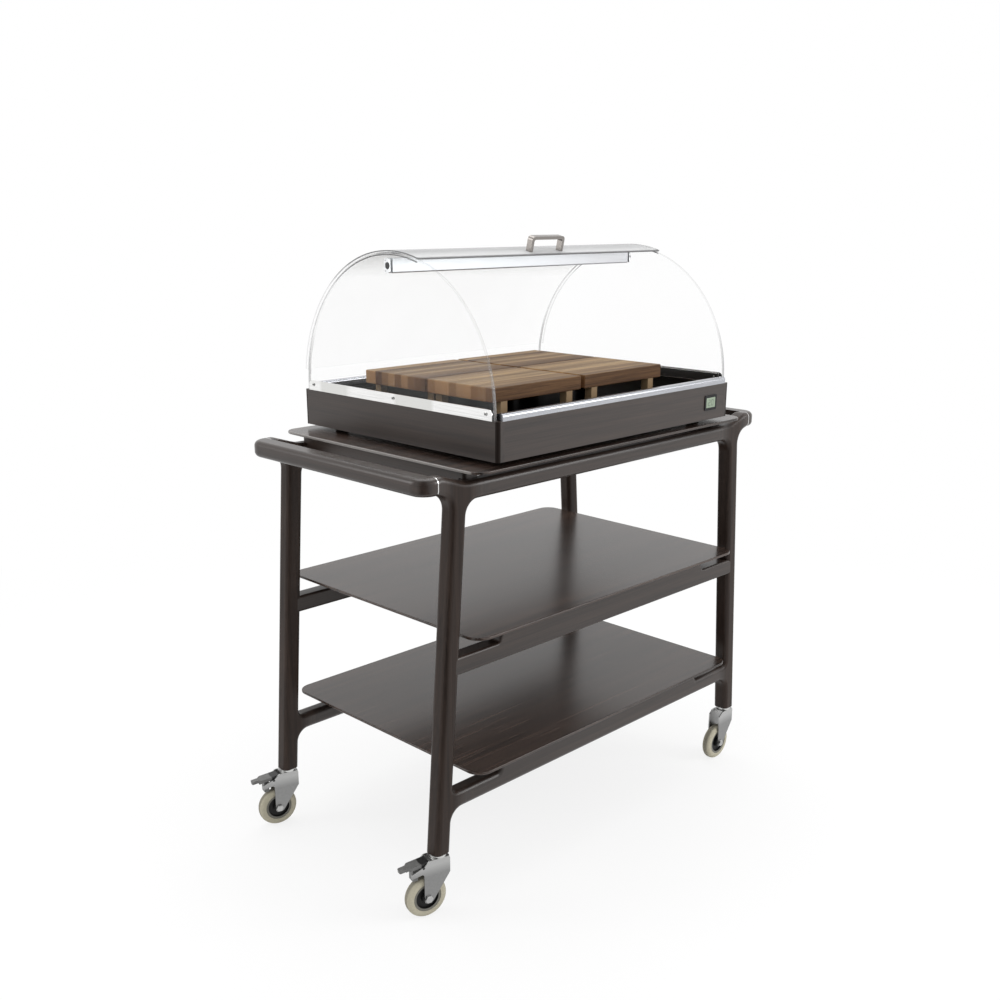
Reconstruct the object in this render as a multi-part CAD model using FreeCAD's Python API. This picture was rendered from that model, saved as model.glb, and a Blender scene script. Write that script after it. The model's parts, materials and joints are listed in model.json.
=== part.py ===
import FreeCAD, Part
import math
import os

# A serving cart on four castors: a leaning-leg timber frame with three boards, and on its top board a
# chilled display base under a clear roll-top cover. Millimetres. X runs along the cart, Y to its back
# and Z up. The origin is on the floor under the middle of the frame.

Vector = FreeCAD.Vector
X_AXIS = Vector(1, 0, 0)
Y_AXIS = Vector(0, 1, 0)
Z_AXIS = Vector(0, 0, 1)

# Fits
RUNNING_CLEARANCE = 0.05
SEAT_CLEARANCE = 0.3
LOOSE_CLEARANCE = 0.4

# Castors
WHEEL_DIAMETER = 80.0
TYRE_WIDTH = 20.0
TYRE_SHOULDER_RADIUS = 8.0
RIM_DIAMETER = 54.0
RIM_WIDTH = 18.0
HUB_BOSS_DIAMETER = 22.0
RIM_DISH_DEPTH = 4.0
RIM_BAND = 5.0
CASTOR_HEIGHT = 122.0
CASTOR_TRAIL = 27.0
AXLE_DIAMETER = 8.0
AXLE_HEAD_DIAMETER = 13.0
AXLE_HEAD_THICKNESS = 3.0
WHEEL_SIDE_GAP = 2.0
HUB_SIDE_GAP = 0.5
FORK_SHEET = 2.5
FORK_TOP_DROP = 6.0
FORK_TOP_THICKNESS = 4.0
FORK_FRONT_REACH = 17.0
FORK_REAR_REACH = 35.0
FORK_SHOULDER_DROP = 32.0
FORK_TAIL_REACH = 60.0
FORK_TAIL_DEPTH = 9.0
FORK_TAIL_DROP = 18.0
FORK_EYE_RADIUS = 8.0
FORK_CORNER_RADIUS = 5.0
PIVOT_DIAMETER = 10.0
PIVOT_HEAD_DIAMETER = 18.0
PIVOT_HEAD_THICKNESS = 3.0
COLLAR_DIAMETER = 31.0
STEM_DIAMETER = 11.0
STEM_LENGTH = 40.0
PEDAL_REACH = 80.0
PEDAL_SHOULDER_REACH = 60.0
PEDAL_ROOT_REACH = 24.0
PEDAL_TIP_WIDTH = 12.0
PEDAL_THICKNESS = 6.0
PEDAL_SLOPE_DROP = 9.0
PEDAL_TOP_DROP = 2.0
PEDAL_PIN_REACH = 36.0
PEDAL_PIN_DIAMETER = 5.0
PEDAL_LUG_DEPTH = 12.0
PEDAL_LUG_LENGTH = 11.0
PEDAL_SIDE_GAP = 0.5
BRAKE_SHOE_REACH = 50.0
BRAKE_SHOE_LENGTH = 10.0
BRAKE_SHOE_WIDTH = 16.0
BRAKE_SHOE_DEPTH = 34.0
LEFT_CASTOR_TURN_DEG = -15.0

# Timber frame
FOOT_SPAN = 902.0
FRAME_DEPTH = 465.0
LEG_LEAN_DEG = 4.3
LEG_THICKNESS = 34.0
LEG_EDGE_RADIUS = 10.0
TOP_RAIL_BOTTOM = 764.0
TOP_RAIL_HEIGHT = 33.0
MIDDLE_RAIL_BOTTOM = 457.0
BOTTOM_RAIL_BOTTOM = 200.0
RAIL_END_HEIGHT = 33.0
RAIL_RISE_HALF_SPAN = 300.0
RAIL_RISE_RUN = 10.0
RAIL_RISE_RADIUS = 6.0
BOTTOM_STUB_LENGTH = 50.0
TOP_STUB_LENGTH = 48.0
LEG_UNDER_RADIUS = 26.0
LEG_OVER_RADIUS = 12.0
LEG_TOP_RADIUS = 28.0
HEAD_END_SPAN = 904.0
HEAD_RISE_RUN = 52.0
HEAD_FLAT = 12.0
HEAD_DIP_RADIUS = 60.0
HEAD_CROWN_RADIUS = 24.0
HEAD_UNDER_RADIUS = 30.0
HEAD_UNDER_DROP = 10.0

# Boards
BOARD_LENGTH = 780.0
BOARD_WIDTH = 554.0
BOARD_THICKNESS = 5.0
BOARD_CORNER_RADIUS = 30.0
BOARD_EDGE_RADIUS = 1.5
BOTTOM_SHELF_TOP = 266.0
MIDDLE_SHELF_TOP = 523.0
TOP_BOARD_TOP = 816.0
DOWEL_DIAMETER = 6.0
DOWEL_INTO_BOARD = 3.5
DOWEL_INTO_RAIL = 12.0
DOWEL_SPACING = 500.0
CROSS_RAIL_WIDTH = 34.0
CROSS_RAIL_HEIGHT = 34.0
CROSS_RAIL_SPAN = 752.0
CROSS_RAIL_LAP = 15.0

# Push handles
HANDLE_BOTTOM = 783.0
HANDLE_HEIGHT = 31.0
HANDLE_THICKNESS = 34.5
HANDLE_CORNER_RADIUS = 32.0
HANDLE_EDGE_RADIUS = 10.0
SPACER_THICKNESS = 1.5
SPACER_INSET = 0.0
HANDLE_BOLT_DIAMETER = 8.0
HANDLE_BOLT_LENGTH = 48.0
HANDLE_BOLT_IN_HANDLE = 18.0

# Display base
BASE_LENGTH = 672.0
BASE_DEPTH = 538.0
BASE_PANEL_HEIGHT = 69.0
BASE_PANEL_THICKNESS = 16.0
BASE_CORNER_RADIUS = 5.0
BASE_FOOT_HEIGHT = 8.0
BASE_FOOT_DIAMETER = 26.0
BASE_FOOT_INSET = 34.0
BASE_FLOOR_THICKNESS = 6.0
COLD_PLATE_HEIGHT = 53.5
COLD_PLATE_GAP = 12.0
COLD_PLATE_RADIUS = 12.0
COLD_PLATE_EDGE_RADIUS = 4.0
TRAY_SHEET = 1.5
TRAY_CORNER_RADIUS = 14.0
STEEL_RAIL_HEIGHT = 12.5
STEEL_RAIL_RADIUS = 5.0
STEEL_RAIL_END_GAP = 1.0
TRIM_THICKNESS = 2.0
TRIM_HEIGHT = 19.0
TRIM_END_INSET = 14.0
TRIM_CORNER_RADIUS = 10.0
CLAMP_THICKNESS = 4.0
CLAMP_HEIGHT = 17.0
CLAMP_END_INSET = 19.0
SCREW_DIAMETER = 4.0
SCREW_HEAD_DIAMETER = 6.5
SCREW_HEAD_HEIGHT = 1.3
SCREW_RISE = 11.0
SCREW_END_INSET = 29.0
METER_WIDTH = 40.0
METER_HEIGHT = 31.0
METER_BODY_MARGIN = 3.0
METER_BODY_DEPTH = 12.0
METER_FACE_PROUD = 1.6
METER_FROM_RIGHT = 61.0
METER_CORNER_RADIUS = 3.0
METER_SCREEN_WIDTH = 30.0
METER_SCREEN_HEIGHT = 20.0
METER_SCREEN_DEPTH = 1.0

# Roll-top cover
COVER_AXIS_RISE = 8.0
COVER_INSET = 10.0
PANEL_THICKNESS = 5.0
SHELL_THICKNESS = 3.0
BACK_SHELL_START_DEG = 90.0
BACK_SHELL_END_DEG = 178.0
LID_OPEN_DEG = 73.0
LID_WIDTH_DEG = 100.0
LID_LIP_DEPTH = 8.0
LID_LIP_THICKNESS = 2.0
LID_SIDE_CLEARANCE = 0.5
BAR_HEIGHT = 26.0
BAR_DEPTH = 14.0
BAR_DROP = 10.0
BAR_EDGE_RADIUS = 2.0
BAR_CAP_THICKNESS = 3.0
BAR_CAP_MARGIN = 1.0
LID_HANDLE_WIDTH = 90.0
LID_HANDLE_RISE = 29.0
LID_HANDLE_STRIP = 6.0
LID_HANDLE_DEPTH = 13.0
LID_HANDLE_RADIUS = 7.0
LID_HANDLE_SETBACK_DEG = 4.0
LID_HANDLE_SINK = 1.0

# Serving boards
SERVING_BOARD_LENGTH = 230.0
SERVING_BOARD_DEPTH = 170.0
SERVING_BOARD_THICKNESS = 25.0
SERVING_COLUMN_GAP = 10.0
SERVING_ROW_GAP = 2.0
SERVING_BOARD_SIDE_GAP = 20.0
SERVING_BOARD_FRONT_GAP = 33.0
SERVING_FOOT_HEIGHT = 30.5
SERVING_FOOT_SIZE = 16.0
SERVING_FOOT_INSET = 22.0
SERVING_EDGE_RADIUS = 2.0

# Places worked out from the sizes
SIDES = (("left", -1), ("right", 1))
ROWS = (("front", -1), ("back", 1))
AXLE_HEIGHT = WHEEL_DIAMETER / 2
FOOT_X = FOOT_SPAN / 2
LEG_Y = FRAME_DEPTH / 2
FRAME_FACE_Y = LEG_Y + LEG_THICKNESS / 2
RAIL_INNER_Y = LEG_Y - LEG_THICKNESS / 2
LEG_HALF_WIDTH = LEG_THICKNESS / 2 / math.cos(math.radians(LEG_LEAN_DEG))
TOP_RAIL_TOP = TOP_RAIL_BOTTOM + TOP_RAIL_HEIGHT
HANDLE_TOP = HANDLE_BOTTOM + HANDLE_HEIGHT
HANDLE_INNER_X = HEAD_END_SPAN / 2 + SPACER_THICKNESS
CROSS_RAIL_TOP = TOP_BOARD_TOP - BOARD_THICKNESS
CROSS_RAIL_X = CROSS_RAIL_SPAN / 2 - CROSS_RAIL_WIDTH / 2
FORK_GAP = TYRE_WIDTH + 2 * WHEEL_SIDE_GAP
FORK_WIDTH = FORK_GAP + 2 * FORK_SHEET
FORK_TOP = CASTOR_HEIGHT - FORK_TOP_DROP
BASE_BOTTOM = TOP_BOARD_TOP + BASE_FOOT_HEIGHT
BASE_TOP = BASE_BOTTOM + BASE_PANEL_HEIGHT
BASE_FLOOR_TOP = BASE_BOTTOM + BASE_FLOOR_THICKNESS
WELL_LENGTH = BASE_LENGTH - 2 * BASE_PANEL_THICKNESS
WELL_DEPTH = BASE_DEPTH - 2 * BASE_PANEL_THICKNESS
TRAY_BOTTOM = BASE_FLOOR_TOP + COLD_PLATE_HEIGHT
TRAY_FLOOR = TRAY_BOTTOM + TRAY_SHEET
PANEL_OUTER_X = BASE_LENGTH / 2 - TRIM_THICKNESS
PANEL_INNER_X = PANEL_OUTER_X - PANEL_THICKNESS
COVER_AXIS_Z = BASE_TOP + COVER_AXIS_RISE
PANEL_RADIUS = BASE_DEPTH / 2 - COVER_INSET
LID_INNER_RADIUS = PANEL_RADIUS + LID_SIDE_CLEARANCE
LID_OUTER_RADIUS = LID_INNER_RADIUS + SHELL_THICKNESS
LID_HALF_LENGTH = BASE_LENGTH / 2 + LID_SIDE_CLEARANCE
BAR_TOP = COVER_AXIS_Z + PANEL_RADIUS - BAR_DROP


def leg_line(height):
    """X of a right-hand leg's centre line at a height."""
    return FOOT_X - (height - CASTOR_HEIGHT) * math.tan(math.radians(LEG_LEAN_DEG))


TOP_SEAM_X = leg_line(TOP_RAIL_BOTTOM) - LEG_HALF_WIDTH - TOP_STUB_LENGTH
BOTTOM_SEAM_X = leg_line(BOTTOM_RAIL_BOTTOM) - LEG_HALF_WIDTH - BOTTOM_STUB_LENGTH


def box(x_low, x_high, y_low, y_high, z_low, z_high):
    """A block between two corners."""
    return Part.makeBox(x_high - x_low, y_high - y_low, z_high - z_low, Vector(x_low, y_low, z_low))


def rod(start, axis, radius, length):
    """A round bar."""
    return Part.makeCylinder(radius, length, start, axis)


def outline(corners):
    """A closed wire through corners (point, radius), with an arc at each corner that has a radius."""
    points = [corner[0] for corner in corners]
    radii = [corner[1] for corner in corners]
    count = len(points)
    stations = []
    for index in range(count):
        here = points[index]
        if radii[index] <= 0:
            stations.append((here, None, here))
            continue
        to_last = (points[index - 1] - here).normalize()
        to_next = (points[(index + 1) % count] - here).normalize()
        half_angle = to_last.getAngle(to_next) / 2
        reach = radii[index] / math.tan(half_angle)
        inward = (to_last + to_next).normalize()
        crown = here + inward * (radii[index] / math.sin(half_angle) - radii[index])
        stations.append((here + to_last * reach, crown, here + to_next * reach))
    edges = []
    for index in range(count):
        start, crown, end = stations[index]
        if crown is not None:
            edges.append(Part.Arc(start, crown, end).toShape())
        following = stations[(index + 1) % count][0]
        if (following - end).Length > 1e-6:
            edges.append(Part.LineSegment(end, following).toShape())
    return Part.Wire(edges)


def slab(corners, sweep):
    """A solid whose outline has rounded corners, swept along a vector."""
    return Part.Face(outline(corners)).extrude(sweep)


def rounded_plate(x_low, x_high, y_low, y_high, z_low, z_high, radius):
    """A flat plate with rounded corners in plan."""
    places = ((x_low, y_low), (x_high, y_low), (x_high, y_high), (x_low, y_high))
    corners = [(Vector(x, y, z_low), radius) for x, y in places]
    return slab(corners, Vector(0, 0, z_high - z_low))


def edges_where(shape, test):
    """The edges whose two ends and middle all pass a test."""
    chosen = []
    for edge in shape.Edges:
        middle = edge.valueAt((edge.FirstParameter + edge.LastParameter) / 2)
        spots = [vertex.Point for vertex in edge.Vertexes] + [middle]
        if all(test(spot) for spot in spots):
            chosen.append(edge)
    return chosen


def near(a, b):
    """Whether two lengths are the same place."""
    return abs(a - b) < 1e-4


def mirrored(shape, x_sign, y_sign):
    """A right-hand back piece moved to another corner."""
    result = shape
    if x_sign < 0:
        result = result.mirror(Vector(), X_AXIS)
    if y_sign < 0:
        result = result.mirror(Vector(), Y_AXIS)
    return result


def dowel_places(z_seat, half_span, y_place):
    """Where one board's four dowels stand."""
    return [Vector(sx * half_span, sy * y_place, z_seat) for sx in (-1, 1) for sy in (-1, 1)]


def dowel(seat):
    """A dowel through a seat between a rail and a board."""
    start = seat - Z_AXIS * DOWEL_INTO_RAIL
    return rod(start, Z_AXIS, DOWEL_DIAMETER / 2, DOWEL_INTO_RAIL + DOWEL_INTO_BOARD)


BOTTOM_DOWELS = dowel_places(BOTTOM_SHELF_TOP - BOARD_THICKNESS, DOWEL_SPACING / 2, LEG_Y)
MIDDLE_DOWELS = dowel_places(MIDDLE_SHELF_TOP - BOARD_THICKNESS, DOWEL_SPACING / 2, LEG_Y)
TOP_DOWELS = dowel_places(CROSS_RAIL_TOP, CROSS_RAIL_X, RAIL_INNER_Y / 2)


def cut_all(shape, tools):
    """A solid less every tool in a list."""
    for tool in tools:
        shape = shape.cut(tool)
    return shape


def handle_bolt(x_sign, y_sign):
    """A bolt through a leg's head and its spacer into a handle."""
    end_x = HANDLE_INNER_X + HANDLE_BOLT_IN_HANDLE
    start = Vector(end_x - HANDLE_BOLT_LENGTH, LEG_Y, HANDLE_BOTTOM + HANDLE_HEIGHT / 2)
    return mirrored(rod(start, X_AXIS, HANDLE_BOLT_DIAMETER / 2, HANDLE_BOLT_LENGTH), x_sign, y_sign)


def stem(x, y):
    """A castor's fixed stem, collar and pivot, with the head that carries the fork."""
    collar_bottom = FORK_TOP + LOOSE_CLEARANCE
    fork_under = FORK_TOP - FORK_TOP_THICKNESS
    head_top = fork_under - LOOSE_CLEARANCE
    head_bottom = head_top - PIVOT_HEAD_THICKNESS
    shape = rod(Vector(x, y, CASTOR_HEIGHT), Z_AXIS, STEM_DIAMETER / 2, STEM_LENGTH)
    collar = rod(Vector(x, y, collar_bottom), Z_AXIS, COLLAR_DIAMETER / 2, CASTOR_HEIGHT - collar_bottom)
    pivot = rod(Vector(x, y, head_top), Z_AXIS, PIVOT_DIAMETER / 2, collar_bottom - head_top)
    head = rod(Vector(x, y, head_bottom), Z_AXIS, PIVOT_HEAD_DIAMETER / 2, PIVOT_HEAD_THICKNESS)
    return shape.fuse([collar, pivot, head]).removeSplitter()


def leg():
    """The right back leg, with its head and the stubs that meet the top and bottom rails."""
    foot_in = leg_line(CASTOR_HEIGHT) - LEG_HALF_WIDTH
    foot_out = leg_line(CASTOR_HEIGHT) + LEG_HALF_WIDTH
    stub_top = BOTTOM_RAIL_BOTTOM + RAIL_END_HEIGHT
    head_x = HEAD_END_SPAN / 2
    throat = HANDLE_BOTTOM - HEAD_UNDER_DROP
    crown_x = head_x - HEAD_FLAT
    places = (
        (foot_out, CASTOR_HEIGHT, 0),
        (foot_in, CASTOR_HEIGHT, 0),
        (leg_line(BOTTOM_RAIL_BOTTOM) - LEG_HALF_WIDTH, BOTTOM_RAIL_BOTTOM, LEG_UNDER_RADIUS),
        (BOTTOM_SEAM_X, BOTTOM_RAIL_BOTTOM, 0),
        (BOTTOM_SEAM_X, stub_top, 0),
        (leg_line(stub_top) - LEG_HALF_WIDTH, stub_top, LEG_OVER_RADIUS),
        (leg_line(TOP_RAIL_BOTTOM) - LEG_HALF_WIDTH, TOP_RAIL_BOTTOM, LEG_TOP_RADIUS),
        (TOP_SEAM_X, TOP_RAIL_BOTTOM, 0),
        (TOP_SEAM_X, TOP_RAIL_TOP, 0),
        (crown_x - HEAD_RISE_RUN, TOP_RAIL_TOP, HEAD_DIP_RADIUS),
        (crown_x, HANDLE_TOP, HEAD_CROWN_RADIUS),
        (head_x, HANDLE_TOP, 0),
        (head_x, HANDLE_BOTTOM, 0),
        (leg_line(throat) + LEG_HALF_WIDTH, throat, HEAD_UNDER_RADIUS),
    )
    corners = [(Vector(x, RAIL_INNER_Y, z), radius) for x, z, radius in places]
    shape = slab(corners, Vector(0, LEG_THICKNESS, 0))

    def on_side(point):
        return near(point.y, RAIL_INNER_Y) or near(point.y, FRAME_FACE_Y)

    def on_seam(edge):
        ends = [vertex.Point for vertex in edge.Vertexes]
        for x_place in (TOP_SEAM_X, BOTTOM_SEAM_X, head_x):
            if all(near(end.x, x_place) for end in ends):
                return True
        return all(near(end.z, CASTOR_HEIGHT) for end in ends)

    chosen = [edge for edge in edges_where(shape, on_side) if not on_seam(edge)]
    shape = shape.makeFillet(LEG_EDGE_RADIUS, chosen)
    socket = rod(Vector(FOOT_X, LEG_Y, CASTOR_HEIGHT), Z_AXIS, STEM_DIAMETER / 2, STEM_LENGTH)
    return shape.cut(socket).cut(handle_bolt(1, 1))


def soften_long_edges(shape, y_low, y_high, radius):
    """Round the long edges of a rail whose faces lie at two depths, leaving its ends square."""
    bounds = shape.BoundBox

    def at_end(edge):
        ends = [vertex.Point for vertex in edge.Vertexes]
        return any(all(near(end.x, x) for end in ends) for x in (bounds.XMin, bounds.XMax))

    sides = edges_where(shape, lambda p: near(p.y, y_low) or near(p.y, y_high))
    return shape.makeFillet(radius, [edge for edge in sides if not at_end(edge)])


def top_rail():
    """The back long rail under the top board, between the stubs of its two legs."""
    shape = box(-TOP_SEAM_X, TOP_SEAM_X, RAIL_INNER_Y, FRAME_FACE_Y, TOP_RAIL_BOTTOM, TOP_RAIL_TOP)
    return soften_long_edges(shape, RAIL_INNER_Y, FRAME_FACE_Y, LEG_EDGE_RADIUS)


def notched_rail(half_length, bottom, shelf_top):
    """A back long rail that rises under its shelf and stays low beside the legs."""
    low_top = bottom + RAIL_END_HEIGHT
    seat = shelf_top - BOARD_THICKNESS
    foot_x = RAIL_RISE_HALF_SPAN + RAIL_RISE_RUN
    places = [
        (-half_length, bottom, 0),
        (half_length, bottom, 0),
        (half_length, low_top, 0),
        (foot_x, low_top, RAIL_RISE_RADIUS),
        (RAIL_RISE_HALF_SPAN, seat, 0),
        (-RAIL_RISE_HALF_SPAN, seat, 0),
        (-foot_x, low_top, RAIL_RISE_RADIUS),
        (-half_length, low_top, 0),
    ]
    corners = [(Vector(x, RAIL_INNER_Y, z), radius) for x, z, radius in places]
    return slab(corners, Vector(0, LEG_THICKNESS, 0))


def rail_under_edges(shape, bottom):
    """The two lower long edges of a notched rail, and the upper edges of its low ends."""
    bounds = shape.BoundBox
    low_top = bottom + RAIL_END_HEIGHT

    def wanted(edge):
        ends = [vertex.Point for vertex in edge.Vertexes]
        level = all(near(end.z, bottom) for end in ends) or all(near(end.z, low_top) for end in ends)
        at_end = any(all(near(end.x, x) for end in ends) for x in (bounds.XMin, bounds.XMax))
        return level and not at_end

    sides = edges_where(shape, lambda p: near(p.y, RAIL_INNER_Y) or near(p.y, FRAME_FACE_Y))
    return [edge for edge in sides if wanted(edge)]


def middle_rail(legs):
    """The back rail of the middle shelf, coped to the legs that it butts against."""
    reach = leg_line(MIDDLE_RAIL_BOTTOM)
    shape = notched_rail(reach, MIDDLE_RAIL_BOTTOM, MIDDLE_SHELF_TOP)
    shape = shape.makeFillet(LEG_EDGE_RADIUS / 2, rail_under_edges(shape, MIDDLE_RAIL_BOTTOM))
    shape = cut_all(shape, legs)
    return max(shape.Solids, key=lambda solid: solid.Volume)


def bottom_rail():
    """The back rail of the bottom shelf, between the stubs of its two legs."""
    shape = notched_rail(BOTTOM_SEAM_X, BOTTOM_RAIL_BOTTOM, BOTTOM_SHELF_TOP)
    sides = edges_where(shape, lambda p: near(p.y, RAIL_INNER_Y) or near(p.y, FRAME_FACE_Y))
    seat = BOTTOM_SHELF_TOP - BOARD_THICKNESS

    def kept(edge):
        ends = [vertex.Point for vertex in edge.Vertexes]
        square = any(all(near(end.x, x) for end in ends) for x in (-BOTTOM_SEAM_X, BOTTOM_SEAM_X))
        rising = any(near(end.z, seat) for end in ends)
        curved = not isinstance(edge.Curve, Part.Line)
        return not square and not rising and not curved

    return shape.makeFillet(LEG_EDGE_RADIUS, [edge for edge in sides if kept(edge)])


def cross_rail():
    """The right cross rail, let in between the long rails and lapped over their tops."""
    x_low = CROSS_RAIL_X - CROSS_RAIL_WIDTH / 2
    x_high = CROSS_RAIL_X + CROSS_RAIL_WIDTH / 2
    lap = RAIL_INNER_Y + CROSS_RAIL_LAP
    bottom = CROSS_RAIL_TOP - CROSS_RAIL_HEIGHT
    upper = rounded_plate(x_low, x_high, -lap, lap, TOP_RAIL_TOP, CROSS_RAIL_TOP, CROSS_RAIL_LAP / 2)
    lower = box(x_low, x_high, -RAIL_INNER_Y, RAIL_INNER_Y, bottom, TOP_RAIL_TOP)
    return upper.fuse(lower).removeSplitter()


def board(top, dowels):
    """One thin board with rounded corners and eased edges."""
    half_x = BOARD_LENGTH / 2
    half_y = BOARD_WIDTH / 2
    shape = rounded_plate(-half_x, half_x, -half_y, half_y, top - BOARD_THICKNESS, top, BOARD_CORNER_RADIUS)
    rims = edges_where(shape, lambda p: near(p.z, top) or near(p.z, top - BOARD_THICKNESS))
    shape = shape.makeFillet(BOARD_EDGE_RADIUS, rims)
    return cut_all(shape, dowels)


def push_handle():
    """The right handle bar, rounded on its outside."""
    outer_x = HANDLE_INNER_X + HANDLE_THICKNESS
    places = (
        (HANDLE_INNER_X, -FRAME_FACE_Y, 0),
        (outer_x, -FRAME_FACE_Y, HANDLE_CORNER_RADIUS),
        (outer_x, FRAME_FACE_Y, HANDLE_CORNER_RADIUS),
        (HANDLE_INNER_X, FRAME_FACE_Y, 0),
    )
    corners = [(Vector(x, y, HANDLE_BOTTOM), radius) for x, y, radius in places]
    shape = slab(corners, Vector(0, 0, HANDLE_HEIGHT))

    def level(point):
        return near(point.z, HANDLE_BOTTOM) or near(point.z, HANDLE_TOP)

    def inner(edge):
        return all(near(vertex.Point.x, HANDLE_INNER_X) for vertex in edge.Vertexes)

    rims = edges_where(shape, level)
    shape = shape.makeFillet(HANDLE_EDGE_RADIUS, [edge for edge in rims if not inner(edge)])
    return cut_all(shape, [handle_bolt(1, -1), handle_bolt(1, 1)])


def spacer(x_sign, y_sign):
    """A thin plate between a leg's head and a handle."""
    x = HEAD_END_SPAN / 2
    low_y = RAIL_INNER_Y + SPACER_INSET
    high_y = FRAME_FACE_Y - SPACER_INSET
    low_z = HANDLE_BOTTOM + SPACER_INSET
    high_z = HANDLE_TOP - SPACER_INSET
    places = ((low_y, low_z), (high_y, low_z), (high_y, high_z), (low_y, high_z))
    corners = [(Vector(x, y, z), LEG_EDGE_RADIUS) for y, z in places]
    plate = slab(corners, Vector(SPACER_THICKNESS, 0, 0))
    return mirrored(plate.cut(handle_bolt(1, 1)), x_sign, y_sign)


def turned(profile, centre):
    """A wheel turned about an axle along Y from (radius, offset) corners with corner radii."""
    corners = [(centre + Vector(r, y, 0), radius) for r, y, radius in profile]
    return Part.Face(outline(corners)).revolve(centre, Y_AXIS, 360)


def fork(x, y, braked):
    """A castor's pressed fork: two cheeks, with tails for a brake, and the top plate that turns on the pivot."""
    eye_x = -CASTOR_TRAIL
    tail_top = FORK_TOP - FORK_TAIL_DROP / 2
    tail = (
        (-FORK_REAR_REACH, FORK_TOP - FORK_TAIL_DROP - FORK_TAIL_DEPTH / 2, FORK_CORNER_RADIUS),
        (-FORK_TAIL_REACH, FORK_TOP - FORK_TAIL_DROP - FORK_TAIL_DEPTH, FORK_CORNER_RADIUS / 2),
        (-FORK_TAIL_REACH, FORK_TOP - FORK_TAIL_DROP, FORK_CORNER_RADIUS / 2),
    )
    places = (
        (FORK_FRONT_REACH, FORK_TOP, FORK_CORNER_RADIUS),
        (FORK_FRONT_REACH, FORK_TOP - FORK_SHOULDER_DROP, FORK_CORNER_RADIUS),
        (eye_x + FORK_EYE_RADIUS, AXLE_HEIGHT - FORK_EYE_RADIUS, FORK_EYE_RADIUS),
        (-FORK_REAR_REACH, AXLE_HEIGHT - FORK_EYE_RADIUS, FORK_CORNER_RADIUS),
        *(tail if braked else ()),
        (-FORK_REAR_REACH, tail_top, FORK_CORNER_RADIUS),
        (-PEDAL_ROOT_REACH, FORK_TOP, FORK_CORNER_RADIUS),
    )
    parts = []
    for side in (-1, 1):
        low = FORK_GAP / 2 if side > 0 else -FORK_WIDTH / 2
        corners = [(Vector(x + px, y + low, pz), radius) for px, pz, radius in places]
        parts.append(slab(corners, Vector(0, FORK_SHEET, 0)))
    roof_back = x - PEDAL_ROOT_REACH + FORK_CORNER_RADIUS
    roof_front = x + FORK_FRONT_REACH
    roof = rounded_plate(roof_back, roof_front, y - FORK_WIDTH / 2, y + FORK_WIDTH / 2,
                         FORK_TOP - FORK_TOP_THICKNESS, FORK_TOP, FORK_CORNER_RADIUS)
    nose = box(roof_front - FORK_SHEET, roof_front, y - FORK_GAP / 2, y + FORK_GAP / 2,
               FORK_TOP - FORK_SHOULDER_DROP / 2, FORK_TOP - FORK_TOP_THICKNESS / 2)
    shape = parts[0].fuse([parts[1], roof, nose]).removeSplitter()
    pivot_hole = rod(Vector(x, y, 0), Z_AXIS, PIVOT_DIAMETER / 2 + RUNNING_CLEARANCE, CASTOR_HEIGHT)
    axle_hole = rod(Vector(x + eye_x, y - FORK_WIDTH, AXLE_HEIGHT), Y_AXIS, AXLE_DIAMETER / 2, 2 * FORK_WIDTH)
    return shape.cut(pivot_hole).cut(axle_hole)


def pedal_pin_hole(x, y):
    """The cross hole for a brake pedal's pin."""
    start = Vector(x - PEDAL_PIN_REACH, y - FORK_WIDTH, pedal_pin_height())
    return rod(start, Y_AXIS, PEDAL_PIN_DIAMETER / 2 + RUNNING_CLEARANCE, 2 * FORK_WIDTH)


def pedal_pin_height():
    """Height of the axis that a brake pedal tips about."""
    return FORK_TOP - PEDAL_TOP_DROP - PEDAL_LUG_DEPTH / 2 - PEDAL_THICKNESS / 2


def axle(x, y):
    """A wheel's axle bolt with its two heads outside the fork."""
    centre = Vector(x - CASTOR_TRAIL, y, AXLE_HEIGHT)
    half = FORK_WIDTH / 2
    shape = rod(centre - Y_AXIS * half, Y_AXIS, AXLE_DIAMETER / 2, FORK_WIDTH)
    heads = []
    for start in (-half - AXLE_HEAD_THICKNESS, half):
        heads.append(rod(centre + Y_AXIS * start, Y_AXIS, AXLE_HEAD_DIAMETER / 2, AXLE_HEAD_THICKNESS))
    return shape.fuse(heads).removeSplitter()


def hub(x, y):
    """A wheel's dished centre with its bore."""
    centre = Vector(x - CASTOR_TRAIL, y, AXLE_HEIGHT)
    bore = AXLE_DIAMETER / 2 + RUNNING_CLEARANCE
    boss = HUB_BOSS_DIAMETER / 2
    rim = RIM_DIAMETER / 2
    boss_half = FORK_GAP / 2 - HUB_SIDE_GAP
    web_half = RIM_WIDTH / 2 - RIM_DISH_DEPTH
    half_profile = ((bore, boss_half), (boss, boss_half), (boss, web_half), (rim - RIM_BAND, web_half),
                    (rim - RIM_BAND, RIM_WIDTH / 2), (rim, RIM_WIDTH / 2))
    profile = [(r, offset, 0) for r, offset in half_profile]
    profile += [(r, -offset, 0) for r, offset in reversed(half_profile)]
    return turned(profile, centre)


def tyre(x, y):
    """A wheel's tread ring with rounded shoulders."""
    centre = Vector(x - CASTOR_TRAIL, y, AXLE_HEIGHT)
    inner = RIM_DIAMETER / 2
    outer = WHEEL_DIAMETER / 2
    half = TYRE_WIDTH / 2
    profile = ((inner, -half, 1), (outer, -half, TYRE_SHOULDER_RADIUS),
               (outer, half, TYRE_SHOULDER_RADIUS), (inner, half, 1))
    return turned(profile, centre)


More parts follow.
